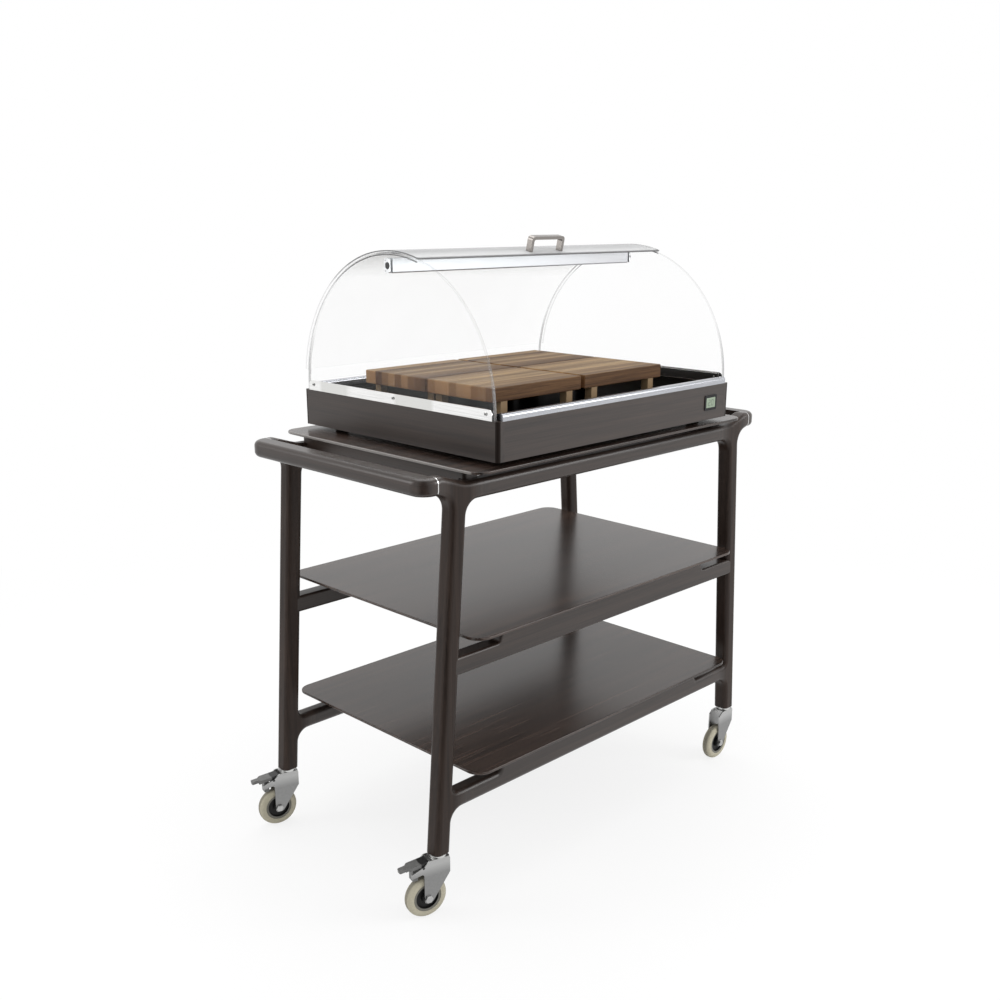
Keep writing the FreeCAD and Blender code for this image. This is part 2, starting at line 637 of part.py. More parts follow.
def pedal(x, y):
    """A brake pedal: a sloping toe plate with two lugs, its pin and the shoe above the tread."""
    top = FORK_TOP - PEDAL_TOP_DROP
    half = FORK_GAP / 2 - PEDAL_SIDE_GAP
    tip = PEDAL_TIP_WIDTH / 2
    waist = PEDAL_SHOULDER_REACH + half - tip
    places = ((-PEDAL_ROOT_REACH, -half, 2), (-PEDAL_SHOULDER_REACH, -half, 4), (-waist, -tip, 2),
              (-PEDAL_REACH, -tip, 3), (-PEDAL_REACH, tip, 3), (-waist, tip, 2),
              (-PEDAL_SHOULDER_REACH, half, 4), (-PEDAL_ROOT_REACH, half, 2))
    corners = [(Vector(x + px, y + py, top - PEDAL_THICKNESS), radius) for px, py, radius in places]
    plate = slab(corners, Vector(0, 0, PEDAL_THICKNESS))
    slope = math.degrees(math.atan2(PEDAL_SLOPE_DROP, PEDAL_REACH))
    plate.rotate(Vector(x - PEDAL_ROOT_REACH, y, top), Y_AXIS, -slope)
    under = top - PEDAL_THICKNESS / 2
    lugs = []
    for side in (-1, 1):
        low = half - FORK_SHEET if side > 0 else -half
        lug_x = x - PEDAL_PIN_REACH
        lugs.append(box(lug_x - PEDAL_LUG_LENGTH / 2, lug_x + PEDAL_LUG_LENGTH / 2,
                        y + low, y + low + FORK_SHEET, top - PEDAL_LUG_DEPTH - PEDAL_THICKNESS, under))
    shoe = box(x - BRAKE_SHOE_REACH - BRAKE_SHOE_LENGTH / 2, x - BRAKE_SHOE_REACH + BRAKE_SHOE_LENGTH / 2,
               y - BRAKE_SHOE_WIDTH / 2, y + BRAKE_SHOE_WIDTH / 2, top - BRAKE_SHOE_DEPTH, under - 1)
    pin = rod(Vector(x - PEDAL_PIN_REACH, y - FORK_WIDTH / 2, pedal_pin_height()), Y_AXIS,
              PEDAL_PIN_DIAMETER / 2, FORK_WIDTH)
    return plate.fuse([*lugs, shoe, pin]).removeSplitter()


def side_panel():
    """The right end board of the display base."""
    half_y = BASE_DEPTH / 2
    outer = BASE_LENGTH / 2
    places = ((outer - BASE_PANEL_THICKNESS, -half_y, 0), (outer, -half_y, BASE_CORNER_RADIUS),
              (outer, half_y, BASE_CORNER_RADIUS), (outer - BASE_PANEL_THICKNESS, half_y, 0))
    corners = [(Vector(x, y, BASE_BOTTOM), radius) for x, y, radius in places]
    return slab(corners, Vector(0, 0, BASE_PANEL_HEIGHT))


def long_panel(y_sign):
    """The front or back board of the display base, between its end boards."""
    half_x = WELL_LENGTH / 2
    inner = WELL_DEPTH / 2
    shape = box(-half_x, half_x, inner, BASE_DEPTH / 2, BASE_BOTTOM, BASE_TOP)
    return mirrored(shape, 1, y_sign)


METER_X = BASE_LENGTH / 2 - METER_FROM_RIGHT
METER_Z = BASE_BOTTOM + BASE_PANEL_HEIGHT / 2
METER_FACE_Y = -BASE_DEPTH / 2


def meter_block(width, height, y_low, y_high, radius):
    """A block on the thermometer's centre, seen from the front."""
    half_w = width / 2
    half_h = height / 2
    places = ((-half_w, -half_h), (half_w, -half_h), (half_w, half_h), (-half_w, half_h))
    corners = [(Vector(METER_X + x, y_low, METER_Z + z), radius) for x, z in places]
    return slab(corners, Vector(0, y_high - y_low, 0))


def meter_body():
    """The part of the thermometer that passes into the front board."""
    width = METER_WIDTH - 2 * METER_BODY_MARGIN
    height = METER_HEIGHT - 2 * METER_BODY_MARGIN
    return meter_block(width, height, METER_FACE_Y, METER_FACE_Y + METER_BODY_DEPTH, METER_CORNER_RADIUS)


def meter_screen():
    """The thermometer's display window."""
    front = METER_FACE_Y - METER_FACE_PROUD
    return meter_block(METER_SCREEN_WIDTH, METER_SCREEN_HEIGHT, front, front + METER_SCREEN_DEPTH, 1)


def meter_bezel():
    """The thermometer's frame and its body in the front board."""
    face = meter_block(METER_WIDTH, METER_HEIGHT, METER_FACE_Y - METER_FACE_PROUD, METER_FACE_Y,
                       METER_CORNER_RADIUS)
    return face.fuse(meter_body()).removeSplitter().cut(meter_screen())


def cold_plates():
    """Two flat cooling plates side by side on the base's floor."""
    half_y = WELL_DEPTH / 2 - COLD_PLATE_GAP
    plates = []
    for x_sign in (-1, 1):
        ends = sorted((x_sign * COLD_PLATE_GAP / 2, x_sign * (WELL_LENGTH / 2 - COLD_PLATE_GAP)))
        plate = rounded_plate(ends[0], ends[1], -half_y, half_y, BASE_FLOOR_TOP, TRAY_BOTTOM,
                              COLD_PLATE_RADIUS)
        rims = edges_where(plate, lambda p: near(p.z, BASE_FLOOR_TOP) or near(p.z, TRAY_BOTTOM))
        plates.append(plate.makeFillet(COLD_PLATE_EDGE_RADIUS, rims))
    return plates


def well_tray():
    """The shallow steel tray that lies on the cooling plates inside the base."""
    half_x = WELL_LENGTH / 2 - LOOSE_CLEARANCE
    half_y = WELL_DEPTH / 2 - LOOSE_CLEARANCE
    outside = rounded_plate(-half_x, half_x, -half_y, half_y, TRAY_BOTTOM, BASE_TOP, TRAY_CORNER_RADIUS)
    inside = rounded_plate(TRAY_SHEET - half_x, half_x - TRAY_SHEET, TRAY_SHEET - half_y, half_y - TRAY_SHEET,
                           TRAY_FLOOR, BASE_TOP + TRAY_SHEET, TRAY_CORNER_RADIUS - TRAY_SHEET)
    return outside.cut(inside)


def steel_rail(y_sign):
    """A rounded steel rail on the front or back board of the base."""
    half_x = PANEL_INNER_X - CLAMP_THICKNESS - STEEL_RAIL_END_GAP
    top = BASE_TOP + STEEL_RAIL_HEIGHT
    inner = WELL_DEPTH / 2
    outer = BASE_DEPTH / 2
    places = ((inner, BASE_TOP, 0), (outer, BASE_TOP, 0), (outer, top, STEEL_RAIL_RADIUS),
              (inner, top, STEEL_RAIL_RADIUS))
    corners = [(Vector(-half_x, y, z), radius) for y, z, radius in places]
    return mirrored(slab(corners, Vector(2 * half_x, 0, 0)), 1, y_sign)


def screw_places():
    """Depth and height of the side trims' screws."""
    spacing = BASE_DEPTH / 2 - SCREW_END_INSET
    return [(index * spacing, BASE_TOP + SCREW_RISE) for index in (-1, 0, 1)]


def trim_screw(depth, height):
    """A right-hand screw through the trim and the end panel into the clamp bar."""
    shank_length = BASE_LENGTH / 2 - (PANEL_INNER_X - CLAMP_THICKNESS)
    start = Vector(BASE_LENGTH / 2 - shank_length, depth, height)
    shank = rod(start, X_AXIS, SCREW_DIAMETER / 2, shank_length)
    head = rod(Vector(BASE_LENGTH / 2, depth, height), X_AXIS, SCREW_HEAD_DIAMETER / 2, SCREW_HEAD_HEIGHT)
    return shank.fuse(head).removeSplitter()


def drilled_for_screws(shape):
    """A right-hand piece less the holes of the side trim's screws."""
    return cut_all(shape, [trim_screw(depth, height) for depth, height in screw_places()])


def side_trim():
    """The right polished trim outside the end panel."""
    half = BASE_DEPTH / 2 - TRIM_END_INSET
    top = BASE_TOP + TRIM_HEIGHT
    places = ((-half, BASE_TOP, 0), (half, BASE_TOP, 0), (half, top, TRIM_CORNER_RADIUS),
              (-half, top, TRIM_CORNER_RADIUS))
    corners = [(Vector(PANEL_OUTER_X, y, z), radius) for y, z, radius in places]
    return drilled_for_screws(slab(corners, Vector(TRIM_THICKNESS, 0, 0)))


def clamp_bar():
    """The right clamp bar inside the end panel."""
    half = BASE_DEPTH / 2 - CLAMP_END_INSET
    shape = box(PANEL_INNER_X - CLAMP_THICKNESS, PANEL_INNER_X, -half, half,
                BASE_TOP, BASE_TOP + CLAMP_HEIGHT)
    return drilled_for_screws(shape)


def cover_point(radius, angle_deg, x=0.0):
    """A place on the cover: the angle runs from the front, over the top, to the back."""
    angle = math.radians(angle_deg)
    return Vector(x, -radius * math.cos(angle), COVER_AXIS_Z + radius * math.sin(angle))


def cover_strip(inner, outer, start_deg, end_deg, x_low, x_high):
    """A curved sheet about the cover's axis, between two angles."""
    middle = (start_deg + end_deg) / 2
    low = [cover_point(inner, angle, x_low) for angle in (start_deg, middle, end_deg)]
    high = [cover_point(outer, angle, x_low) for angle in (start_deg, middle, end_deg)]
    edges = [
        Part.Arc(*high).toShape(),
        Part.LineSegment(high[2], low[2]).toShape(),
        Part.Arc(*reversed(low)).toShape(),
        Part.LineSegment(low[0], high[0]).toShape(),
    ]
    return Part.Face(Part.Wire(edges)).extrude(Vector(x_high - x_low, 0, 0))


def end_panel():
    """The right clear end panel: an arch that stands on the base."""
    x = PANEL_INNER_X
    left = cover_point(PANEL_RADIUS, 0, x)
    right = cover_point(PANEL_RADIUS, 180, x)
    foot = Vector(0, 0, -COVER_AXIS_RISE)
    edges = [
        Part.Arc(left, cover_point(PANEL_RADIUS, 90, x), right).toShape(),
        Part.LineSegment(right, right + foot).toShape(),
        Part.LineSegment(right + foot, left + foot).toShape(),
        Part.LineSegment(left + foot, left).toShape(),
    ]
    shape = Part.Face(Part.Wire(edges)).extrude(Vector(PANEL_THICKNESS, 0, 0))
    return drilled_for_screws(shape)


def cover_bar():
    """The aluminium bar that ties the two end panels together at the top."""
    shape = box(-PANEL_INNER_X, PANEL_INNER_X, 0, BAR_DEPTH, BAR_TOP - BAR_HEIGHT, BAR_TOP)
    long_edges = [edge for edge in shape.Edges if near(edge.Length, 2 * PANEL_INNER_X)]
    return shape.makeFillet(BAR_EDGE_RADIUS, long_edges)


def bar_cap(x_sign):
    """The plate outside an end panel that holds the bar's end."""
    low_z = BAR_TOP - BAR_HEIGHT + BAR_CAP_MARGIN
    high_z = BAR_TOP - BAR_CAP_MARGIN
    places = ((0, low_z), (BAR_DEPTH, low_z), (BAR_DEPTH, high_z), (0, high_z))
    corners = [(Vector(PANEL_OUTER_X, y, z), BAR_EDGE_RADIUS) for y, z in places]
    return mirrored(slab(corners, Vector(BAR_CAP_THICKNESS, 0, 0)), x_sign, 1)


def lid_shell():
    """The moving front half of the cover, pushed open over the back half."""
    return cover_strip(LID_INNER_RADIUS, LID_OUTER_RADIUS, LID_OPEN_DEG, LID_OPEN_DEG + LID_WIDTH_DEG,
                       -LID_HALF_LENGTH, LID_HALF_LENGTH)


def lid_lip(x_sign):
    """The lip down one end of the lid, which keeps it on the end panel's rim."""
    shape = cover_strip(LID_OUTER_RADIUS - LID_LIP_DEPTH, LID_OUTER_RADIUS, LID_OPEN_DEG,
                        LID_OPEN_DEG + LID_WIDTH_DEG, LID_HALF_LENGTH, LID_HALF_LENGTH + LID_LIP_THICKNESS)
    return mirrored(shape, x_sign, 1)


def lid_handle():
    """The bent strip handle near the lid's leading edge."""
    half = LID_HANDLE_WIDTH / 2
    foot_z = COVER_AXIS_Z + LID_OUTER_RADIUS - LID_HANDLE_SINK
    top = COVER_AXIS_Z + LID_OUTER_RADIUS + LID_HANDLE_RISE
    inner = half - LID_HANDLE_STRIP
    under = top - LID_HANDLE_STRIP
    small = LID_HANDLE_RADIUS - LID_HANDLE_STRIP / 2
    places = ((-half, foot_z, 0), (-inner, foot_z, 0), (-inner, under, small), (inner, under, small),
              (inner, foot_z, 0), (half, foot_z, 0), (half, top, LID_HANDLE_RADIUS),
              (-half, top, LID_HANDLE_RADIUS))
    front = -LID_HANDLE_DEPTH / 2
    corners = [(Vector(x, front, z), radius) for x, z, radius in places]
    shape = slab(corners, Vector(0, LID_HANDLE_DEPTH, 0))
    turn = 90 - LID_OPEN_DEG - LID_HANDLE_SETBACK_DEG
    shape.rotate(Vector(0, 0, COVER_AXIS_Z), X_AXIS, turn)
    return shape.cut(lid_shell())


def serving_board(column, row):
    """A loose wooden board on four corner feet, standing in the tray."""
    first_x = SERVING_BOARD_SIDE_GAP - WELL_LENGTH / 2
    first_y = SERVING_BOARD_FRONT_GAP - WELL_DEPTH / 2
    x_low = first_x + column * (SERVING_BOARD_LENGTH + SERVING_COLUMN_GAP)
    y_low = first_y + row * (SERVING_BOARD_DEPTH + SERVING_ROW_GAP)
    x_high = x_low + SERVING_BOARD_LENGTH
    y_high = y_low + SERVING_BOARD_DEPTH
    seat = TRAY_FLOOR + SEAT_CLEARANCE
    bottom = seat + SERVING_FOOT_HEIGHT
    shape = box(x_low, x_high, y_low, y_high, bottom, bottom + SERVING_BOARD_THICKNESS)
    shape = shape.makeFillet(SERVING_EDGE_RADIUS, shape.Edges)
    sink = SERVING_EDGE_RADIUS
    feet = []
    for x in (x_low + SERVING_FOOT_INSET, x_high - SERVING_FOOT_INSET - SERVING_FOOT_SIZE):
        for y in (y_low + sink, y_high - sink - SERVING_FOOT_SIZE):
            feet.append(box(x, x + SERVING_FOOT_SIZE, y, y + SERVING_FOOT_SIZE, seat, bottom + sink))
    return shape.fuse(feet).removeSplitter()


def save(name, shapes):
    """Write one node's solids."""
    if not isinstance(shapes, list):
        shapes = [shapes]
    for shape in shapes:
        if not shape.isValid():
            print("not valid:", name)
    solids = [solid for shape in shapes for solid in shape.Solids]
    whole = solids[0] if len(solids) == 1 else Part.makeCompound(solids)
    whole.exportStep(os.path.join("parts", name + ".step"))


def build_frame():
    """The timber frame, its boards and its handles."""
    right_back = leg()
    for row, y_sign in ROWS:
        for side, x_sign in SIDES:
            save("leg_" + row + "_" + side, mirrored(right_back, x_sign, y_sign))
    back_legs = [mirrored(right_back, x_sign, 1) for side, x_sign in SIDES]
    middle = middle_rail(back_legs)
    holes = [dowel(seat) for seat in BOTTOM_DOWELS + MIDDLE_DOWELS + TOP_DOWELS]
    rails = (("top_rails", top_rail()), ("middle_rails", middle), ("bottom_rails", bottom_rail()))
    for name, shape in rails:
        save(name, [cut_all(mirrored(shape, 1, y_sign), holes) for row, y_sign in ROWS])
    save("cross_rails", [cut_all(mirrored(cross_rail(), x_sign, 1), holes) for side, x_sign in SIDES])
    save("bottom_shelf", board(BOTTOM_SHELF_TOP, holes))
    save("middle_shelf", board(MIDDLE_SHELF_TOP, holes))
    save("top_board", board(TOP_BOARD_TOP, holes))
    save("board_dowels", holes)
    corners = [(x_sign, y_sign) for side, x_sign in SIDES for row, y_sign in ROWS]
    save("handle_spacers", [spacer(x_sign, y_sign) for x_sign, y_sign in corners])
    save("handle_bolts", [handle_bolt(x_sign, y_sign) for x_sign, y_sign in corners])
    for side, x_sign in SIDES:
        save("push_handle_" + side, mirrored(push_handle(), x_sign, 1))


def build_castors():
    """Four castors: the left pair has brake pedals, and the right back one is turned about."""
    rest_turns = {"front_left": LEFT_CASTOR_TURN_DEG, "back_left": LEFT_CASTOR_TURN_DEG,
                  "front_right": 0.0, "back_right": 180.0}
    stems = []
    for row, y_sign in ROWS:
        for side, x_sign in SIDES:
            x = x_sign * FOOT_X
            y = y_sign * LEG_Y
            braked = side == "left"
            place = row + "_" + side
            frame = fork(x, y, braked)
            if braked:
                frame = frame.cut(pedal_pin_hole(x, y))
            pieces = {"castor_fork_": frame, "castor_axle_": axle(x, y), "castor_hub_": hub(x, y),
                      "castor_tyre_": tyre(x, y)}
            if braked:
                pieces["brake_pedal_"] = pedal(x, y)
            for name, shape in pieces.items():
                shape.rotate(Vector(x, y, 0), Z_AXIS, rest_turns[place])
                save(name + place, shape)
            stems.append(stem(x, y))
    save("castor_stems", stems)


def build_base():
    """The chilled base with its wooden boards, tray and trims."""
    save("base_ends", [mirrored(side_panel(), x_sign, 1) for side, x_sign in SIDES])
    save("side_trims", [mirrored(side_trim(), x_sign, 1) for side, x_sign in SIDES])
    for side, x_sign in SIDES:
        save("end_panel_" + side, mirrored(end_panel(), x_sign, 1))
    save("base_front", long_panel(-1).cut(meter_body()))
    save("base_back", long_panel(1))
    half_x = WELL_LENGTH / 2
    half_y = WELL_DEPTH / 2
    save("base_floor", box(-half_x, half_x, -half_y, half_y, BASE_BOTTOM, BASE_FLOOR_TOP))
    foot_x = half_x - BASE_FOOT_INSET
    foot_y = half_y - BASE_FOOT_INSET
    feet = []
    for x in (-foot_x, foot_x):
        for y in (-foot_y, foot_y):
            feet.append(rod(Vector(x, y, TOP_BOARD_TOP), Z_AXIS, BASE_FOOT_DIAMETER / 2, BASE_FOOT_HEIGHT))
    save("base_feet", feet)
    save("cold_plates", cold_plates())
    save("well_tray", well_tray())
    save("steel_rails", [steel_rail(y_sign) for row, y_sign in ROWS])
    save("clamp_bars", [mirrored(clamp_bar(), x_sign, 1) for side, x_sign in SIDES])
    screws = []
    for side, x_sign in SIDES:
        for depth, height in screw_places():
            screws.append(mirrored(trim_screw(depth, height), x_sign, 1))
    save("trim_screws", screws)
    save("thermometer_bezel", meter_bezel())
    save("thermometer_screen", meter_screen())
    for row_index, (row, y_sign) in enumerate(ROWS):
        for column, (side, x_sign) in enumerate(SIDES):
            save("serving_board_" + row + "_" + side, serving_board(column, row_index))


def build_cover():
    """The clear roll-top cover."""
    save("cover_bar", cover_bar())
    save("cover_bar_caps", [bar_cap(x_sign) for side, x_sign in SIDES])
    save("back_shell", cover_strip(PANEL_RADIUS - SHELL_THICKNESS, PANEL_RADIUS, BACK_SHELL_START_DEG,
                                   BACK_SHELL_END_DEG, -PANEL_INNER_X, PANEL_INNER_X))
    save("lid_shell", lid_shell())
    save("lid_lips", [lid_lip(x_sign) for side, x_sign in SIDES])
    save("lid_handle", lid_handle())


os.makedirs("parts", exist_ok=True)
build_frame()
build_castors()
build_base()
build_cover()
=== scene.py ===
import bmesh
import bpy
import json
import math
from mathutils import Matrix, Vector


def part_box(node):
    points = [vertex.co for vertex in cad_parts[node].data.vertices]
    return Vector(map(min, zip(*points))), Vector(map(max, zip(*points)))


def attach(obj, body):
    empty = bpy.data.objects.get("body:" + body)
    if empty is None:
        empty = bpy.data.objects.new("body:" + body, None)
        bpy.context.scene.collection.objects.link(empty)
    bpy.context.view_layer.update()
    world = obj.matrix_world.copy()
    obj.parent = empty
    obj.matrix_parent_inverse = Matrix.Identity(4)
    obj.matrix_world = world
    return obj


# A dark timber serving cart with a chilled display base under a clear roll-top cover.
# Metres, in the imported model's frame: X along the cart, Y to its back, Z up from the floor.

# Camera, fitted to the photograph's straight edges
CAMERA_PLACE = Vector((-1.65924, -1.58771, 1.225))
CAMERA_YAW_DEG = 45.22
CAMERA_PITCH_DEG = 16.80
CAMERA_ROLL_DEG = -0.12
CAMERA_LENS = 40.92
CAMERA_SENSOR = 36.0
CAMERA_SHIFT_UP = 0.05675
CAMERA_CLIP = 50.0

# Tones of the timber, as linear colour
TIMBER_LIGHT = (0.040, 0.026, 0.020)
TIMBER_DARK = (0.013, 0.009, 0.0075)
SHELF_LIGHT = (0.070, 0.045, 0.035)
SHELF_DARK = (0.009, 0.0065, 0.0055)
# Painted highlight along the top board's short edges
BOARD_EDGE_HIGHLIGHT = (0.220, 0.205, 0.195)
DOWEL_LIGHT = (0.56, 0.43, 0.28)
DOWEL_DARK = (0.40, 0.29, 0.18)
BLOCK_TONES = ((0.085, 0.045, 0.021), (0.220, 0.135, 0.065), (0.360, 0.245, 0.126), (0.155, 0.090, 0.042),
               (0.420, 0.300, 0.161))
BLOCK_STREAK = (0.042, 0.022, 0.012)
FOOT_TONE = (0.270, 0.185, 0.105)
END_SHADE = (0.80, 0.65, 0.57)
SIDE_SHADE = (0.79, 0.69, 0.65)

# Tones of the metal
STEEL_POLISHED = (0.93, 0.93, 0.92)
# Grey of the painted reflection patches on the side trims
STEEL_PATCH_REFLECTION = (0.72, 0.72, 0.70)
STEEL_RAIL = (0.47, 0.48, 0.51)
STEEL_PLAIN = (0.62, 0.62, 0.61)
# Near-black tray and its dim slant tone: painted shade under the serving boards
TRAY_SHADE_TONE = (0.034, 0.031, 0.028)
TRAY_SLANT_SHADE = (0.10, 0.095, 0.09)
STEEL_CLAMP = (0.10, 0.097, 0.094)
ZINC = (0.27, 0.27, 0.268)
# Brighter zinc of the painted highlight at the fork's crown
CROWN_HIGHLIGHT_ZINC = (0.46, 0.46, 0.455)
STEM_ZINC = (0.62, 0.62, 0.61)
NUT_ZINC = (0.44, 0.44, 0.435)
# Bar tones from left to right and along its foot: painted shade
BAR_LEFT = (0.405, 0.420, 0.432)
BAR_RIGHT = (0.455, 0.460, 0.475)
BAR_UNDER_SHADE = (0.30, 0.30, 0.31)
CAP_TONE = (0.62, 0.63, 0.64)
HANDLE_METAL = (0.28, 0.26, 0.245)

# Tones of plastic, rubber and the clear cover
TYRE_TONE = (0.45, 0.42, 0.325)
# Tread tone, darkened as painted shade
TREAD_SHADE_TONE = (0.235, 0.220, 0.175)
RIM_TONE = (0.165, 0.160, 0.140)
HUB_BLACK = (0.010, 0.010, 0.010)
PEDAL_TONE = (0.135, 0.135, 0.132)
BEZEL_BLACK = (0.014, 0.014, 0.015)
LCD_TONE = (0.26, 0.32, 0.24)
LCD_INK = (0.075, 0.105, 0.07)
FOOT_RUBBER = (0.015, 0.015, 0.015)
COLD_PLATE_TONE = (0.17, 0.32, 0.52)
# Black painted as the shade inside the screws' hex recesses
RECESS_SHADE = (0.012, 0.012, 0.012)
# Black painted as the shade inside the bar caps' openings
OPENING_SHADE = (0.02, 0.02, 0.02)
CLEAR_TONE = (0.96, 0.97, 0.97)
# Grey of the painted reflection and refraction lines at the clear cover's edges
EDGE_REFLECTION_GREY = (0.170, 0.170, 0.172)
# Grey of the painted reflection where the clear cover is seen at a slant, also used for the end panels' rim
# line
SLANT_REFLECTION_GREY = (0.300, 0.300, 0.303)

# Timber grain: pattern scales across and along it, and how its tones mix
GRAIN_FINE = 640.0
GRAIN_LONG = 7.0
GRAIN_BROAD = 85.0
GRAIN_BROAD_LONG = 1.6
SHELF_GRAIN = 270.0
FINE_SHARE = 0.55
BROAD_SHARE = 0.45
GRAIN_CONTRAST = (0.34, 0.66)

# Butcher block: stave width, glue line as a share of it, and scales and spans of the streaks
STAVE_WIDTH = 0.0185
GLUE_LINE = 0.05
BLOCK_FINE = 380.0
BLOCK_FINE_LONG = 10.0
BLOCK_BROAD = 150.0
BLOCK_BROAD_LONG = 4.0
FINE_STREAK = (0.35, 1.0)
FINE_STREAK_SPAN = (0.36, 0.58)
BROAD_STREAK = (0.40, 0.0)
BROAD_STREAK_SPAN = (0.38, 0.60)
FACE_TURN = (0.6, 0.9)

# Brush lines, mottle and patches on metal, plastic and rubber
BRUSH_FINE = 900.0
BRUSH_LONG = 14.0
BRUSH_DIM = 0.86
PATCH_LONG = 9.0
PATCH_SPAN = (0.50, 0.54)
MOTTLE_SPAN = (0.3, 0.7)
CAST_GRAIN = 260.0
SCREEN_GRAIN = 90.0
WHEEL_GRAIN = 320.0
WHEEL_DIM = 0.88
PEDAL_GRAIN = 300.0
PEDAL_DIM = 0.9

# Roughness from the smoothest to the roughest spots
TIMBER_SHEEN = (0.30, 0.40)
HANDLE_SHEEN = (0.26, 0.34)
SHELF_SHEEN = (0.22, 0.28)
DOWEL_SHEEN = (0.5, 0.6)
BLOCK_SHEEN = (0.46, 0.64)
BAR_SHEEN = (0.30, 0.40)
HUB_SHEEN = (0.39, 0.51)
TYRE_SHEEN = (0.56, 0.68)
PEDAL_SHEEN = (0.36, 0.50)
CAST_SMOOTHER = 0.04
CAST_ROUGHER = 0.06
CLEAR_ROUGHNESS = 0.06

# Relief, as strength and depth
TIMBER_RELIEF = (0.05, 0.0003)
BLOCK_RELIEF = (0.12, 0.0004)
BRUSH_RELIEF = (0.03, 0.0002)
CAST_RELIEF = (0.05, 0.0003)
WHEEL_RELIEF = (0.08, 0.0004)
PEDAL_RELIEF = (0.06, 0.0003)

# Gloss levels
PLAIN_SPECULAR = 0.5
LEG_SPECULAR = 0.17
# Gloss inside the painted dark reflection on the base's corners
CORNER_REFLECTION_SPECULAR = 0.08
WHEEL_SPECULAR = 0.2
BLOCK_SPECULAR = 0.12
BEZEL_SPECULAR = 0.15
SCREEN_SPECULAR = 0.2
PANEL_SPECULAR = 0.12

# The legs' leaning shafts, where the gloss is low
LEG_FOOT_X = 0.451
LEG_FOOT_Z = 0.116
LEG_SLOPE = math.tan(math.radians(4.3))
LEG_HALF = 0.017
LEG_BLEND = 0.03

# Lines and edges between tones
# Width of the painted highlight along the top board's short edges
BOARD_HIGHLIGHT_LINE = 0.0028
# Width and fade of the painted dark reflection on the base's corners
CORNER_REFLECTION_LINE = 0.0072
CORNER_REFLECTION_FADE = 0.8
# Heights over which the painted highlight on the fork's crown rises
CROWN_HIGHLIGHT_RISE = (0.086, 0.106)
BAR_SPAN = (0.35, 0.95)
BAR_SHADE_LINE = 0.0030
BAR_SHADE_FADE = 0.7
SERVING_THICKNESS = 0.025
FOOT_FADE = 0.0002
WHEEL_BLACK_RADIUS = 0.0225
WHEEL_BLACK_FADE = 0.0004
WALL_TURN = (0.15, 0.55)
PEDAL_BLACK_REACH = 0.040
PEDAL_BLACK_FADE = 0.0015

# The clear cover: haze, veils, rims and lines, with levels as opacity
HAZE_SCALE = 9.0
RIM_LINE = 0.0026
PANEL_VEIL = (0.014, 0.026)
PANEL_RIM = (0.50, 0.12)
PANEL_RIM_RISE = (0.04, 0.12)
LIP_DEPTH = 0.008
LIP_VEIL = 0.05
LIP_EDGE = (0.12, 0.92)
LIP_EDGE_DROP = (0.07, 0.004)
SHELL_VEIL = (0.012, 0.030)
SHELL_SLANT = (0.0, 0.88)
SHELL_FACING = (0.58, 0.86)
SHELL_EDGE = 0.90
SHELL_GLOSS_SPAN = (0.0, 0.3)
SLANT_BLEND = 0.5
SLANT_FADE = (math.radians(88.0), math.radians(104.0))
SLANT_BEHIND = 0.25
LID_EDGE_LINE = 0.0065

# Small pieces: nuts, recesses and the bar's ends
HEXAGON = 6
AXLE_HEAD = 0.0030
NUT_ACROSS_FLATS = 0.0135
NUT_THICKNESS = 0.0042
NUT_CHAMFER = 0.0012
RECESS_RADIUS = 0.0017
RECESS_DEPTH = 0.0004
RECESS_CHAMFER = 0.0001
CAP_OPENING = 0.0065
CAP_OPENING_INSET = 0.75
CAP_OPENING_DEPTH = 0.0003
CAP_OPENING_SIDES = 8
CAP_SCREW_RADIUS = 0.0013
CAP_SCREW_HEIGHT = 0.0008
CAP_SCREW_INSET = 0.0032
CAP_SCREW_SIDES = 12

# The thermometer's digits, with each stroke as (across, up, lies flat)
DIGIT_HALF_WIDTH = 0.0032
DIGIT_HALF_HEIGHT = 0.0056
DIGIT_GAP = 0.0105
DIGIT_STROKE = 0.0014
DIGIT_RISE = 0.0001
STROKE_FILL = 1.7
STROKES = {"a": (0, 1, True), "b": (1, 0.5, False), "c": (1, -0.5, False), "d": (0, -1, True),
           "e": (-1, -0.5, False), "f": (-1, 0.5, False), "g": (0, 0, True)}
DIGITS = ("abged", "abcdef")

# Studio
WHITE = (1.0, 1.0, 1.0)
WORLD_STRENGTH = 0.85
DARK_SIDE = (-0.71, -0.70, 0.0)
DARK_WEDGE = (0.86, 0.95)
DARK_STRENGTH = 0.05
FLOOR_SIZE = 14.0
FLOOR_TONE = (0.84, 0.84, 0.84)
FLOOR_SHADE = 0.20
SHADE_FADE = (1.0, 2.4)
FLOOR_DARK_FROM = (0.8, 1.3)
LAMP_AIM = Vector((0.0, 0.0, 0.6))
LAMPS = (
    {"name": "left_box", "place": (-2.6, 1.8, 1.9), "width": 1.2, "height": 1.6, "power": 22.0},
    {"name": "front_box", "place": (1.8, -2.6, 1.7), "width": 1.6, "height": 1.6, "power": 40.0},
    {"name": "top_box", "place": (0.3, 0.3, 3.2), "width": 2.4, "height": 2.4, "power": 45.0},
)

X_AXIS = (1.0, 0.0, 0.0)
PLACES = ("front_left", "front_right", "back_left", "back_right")

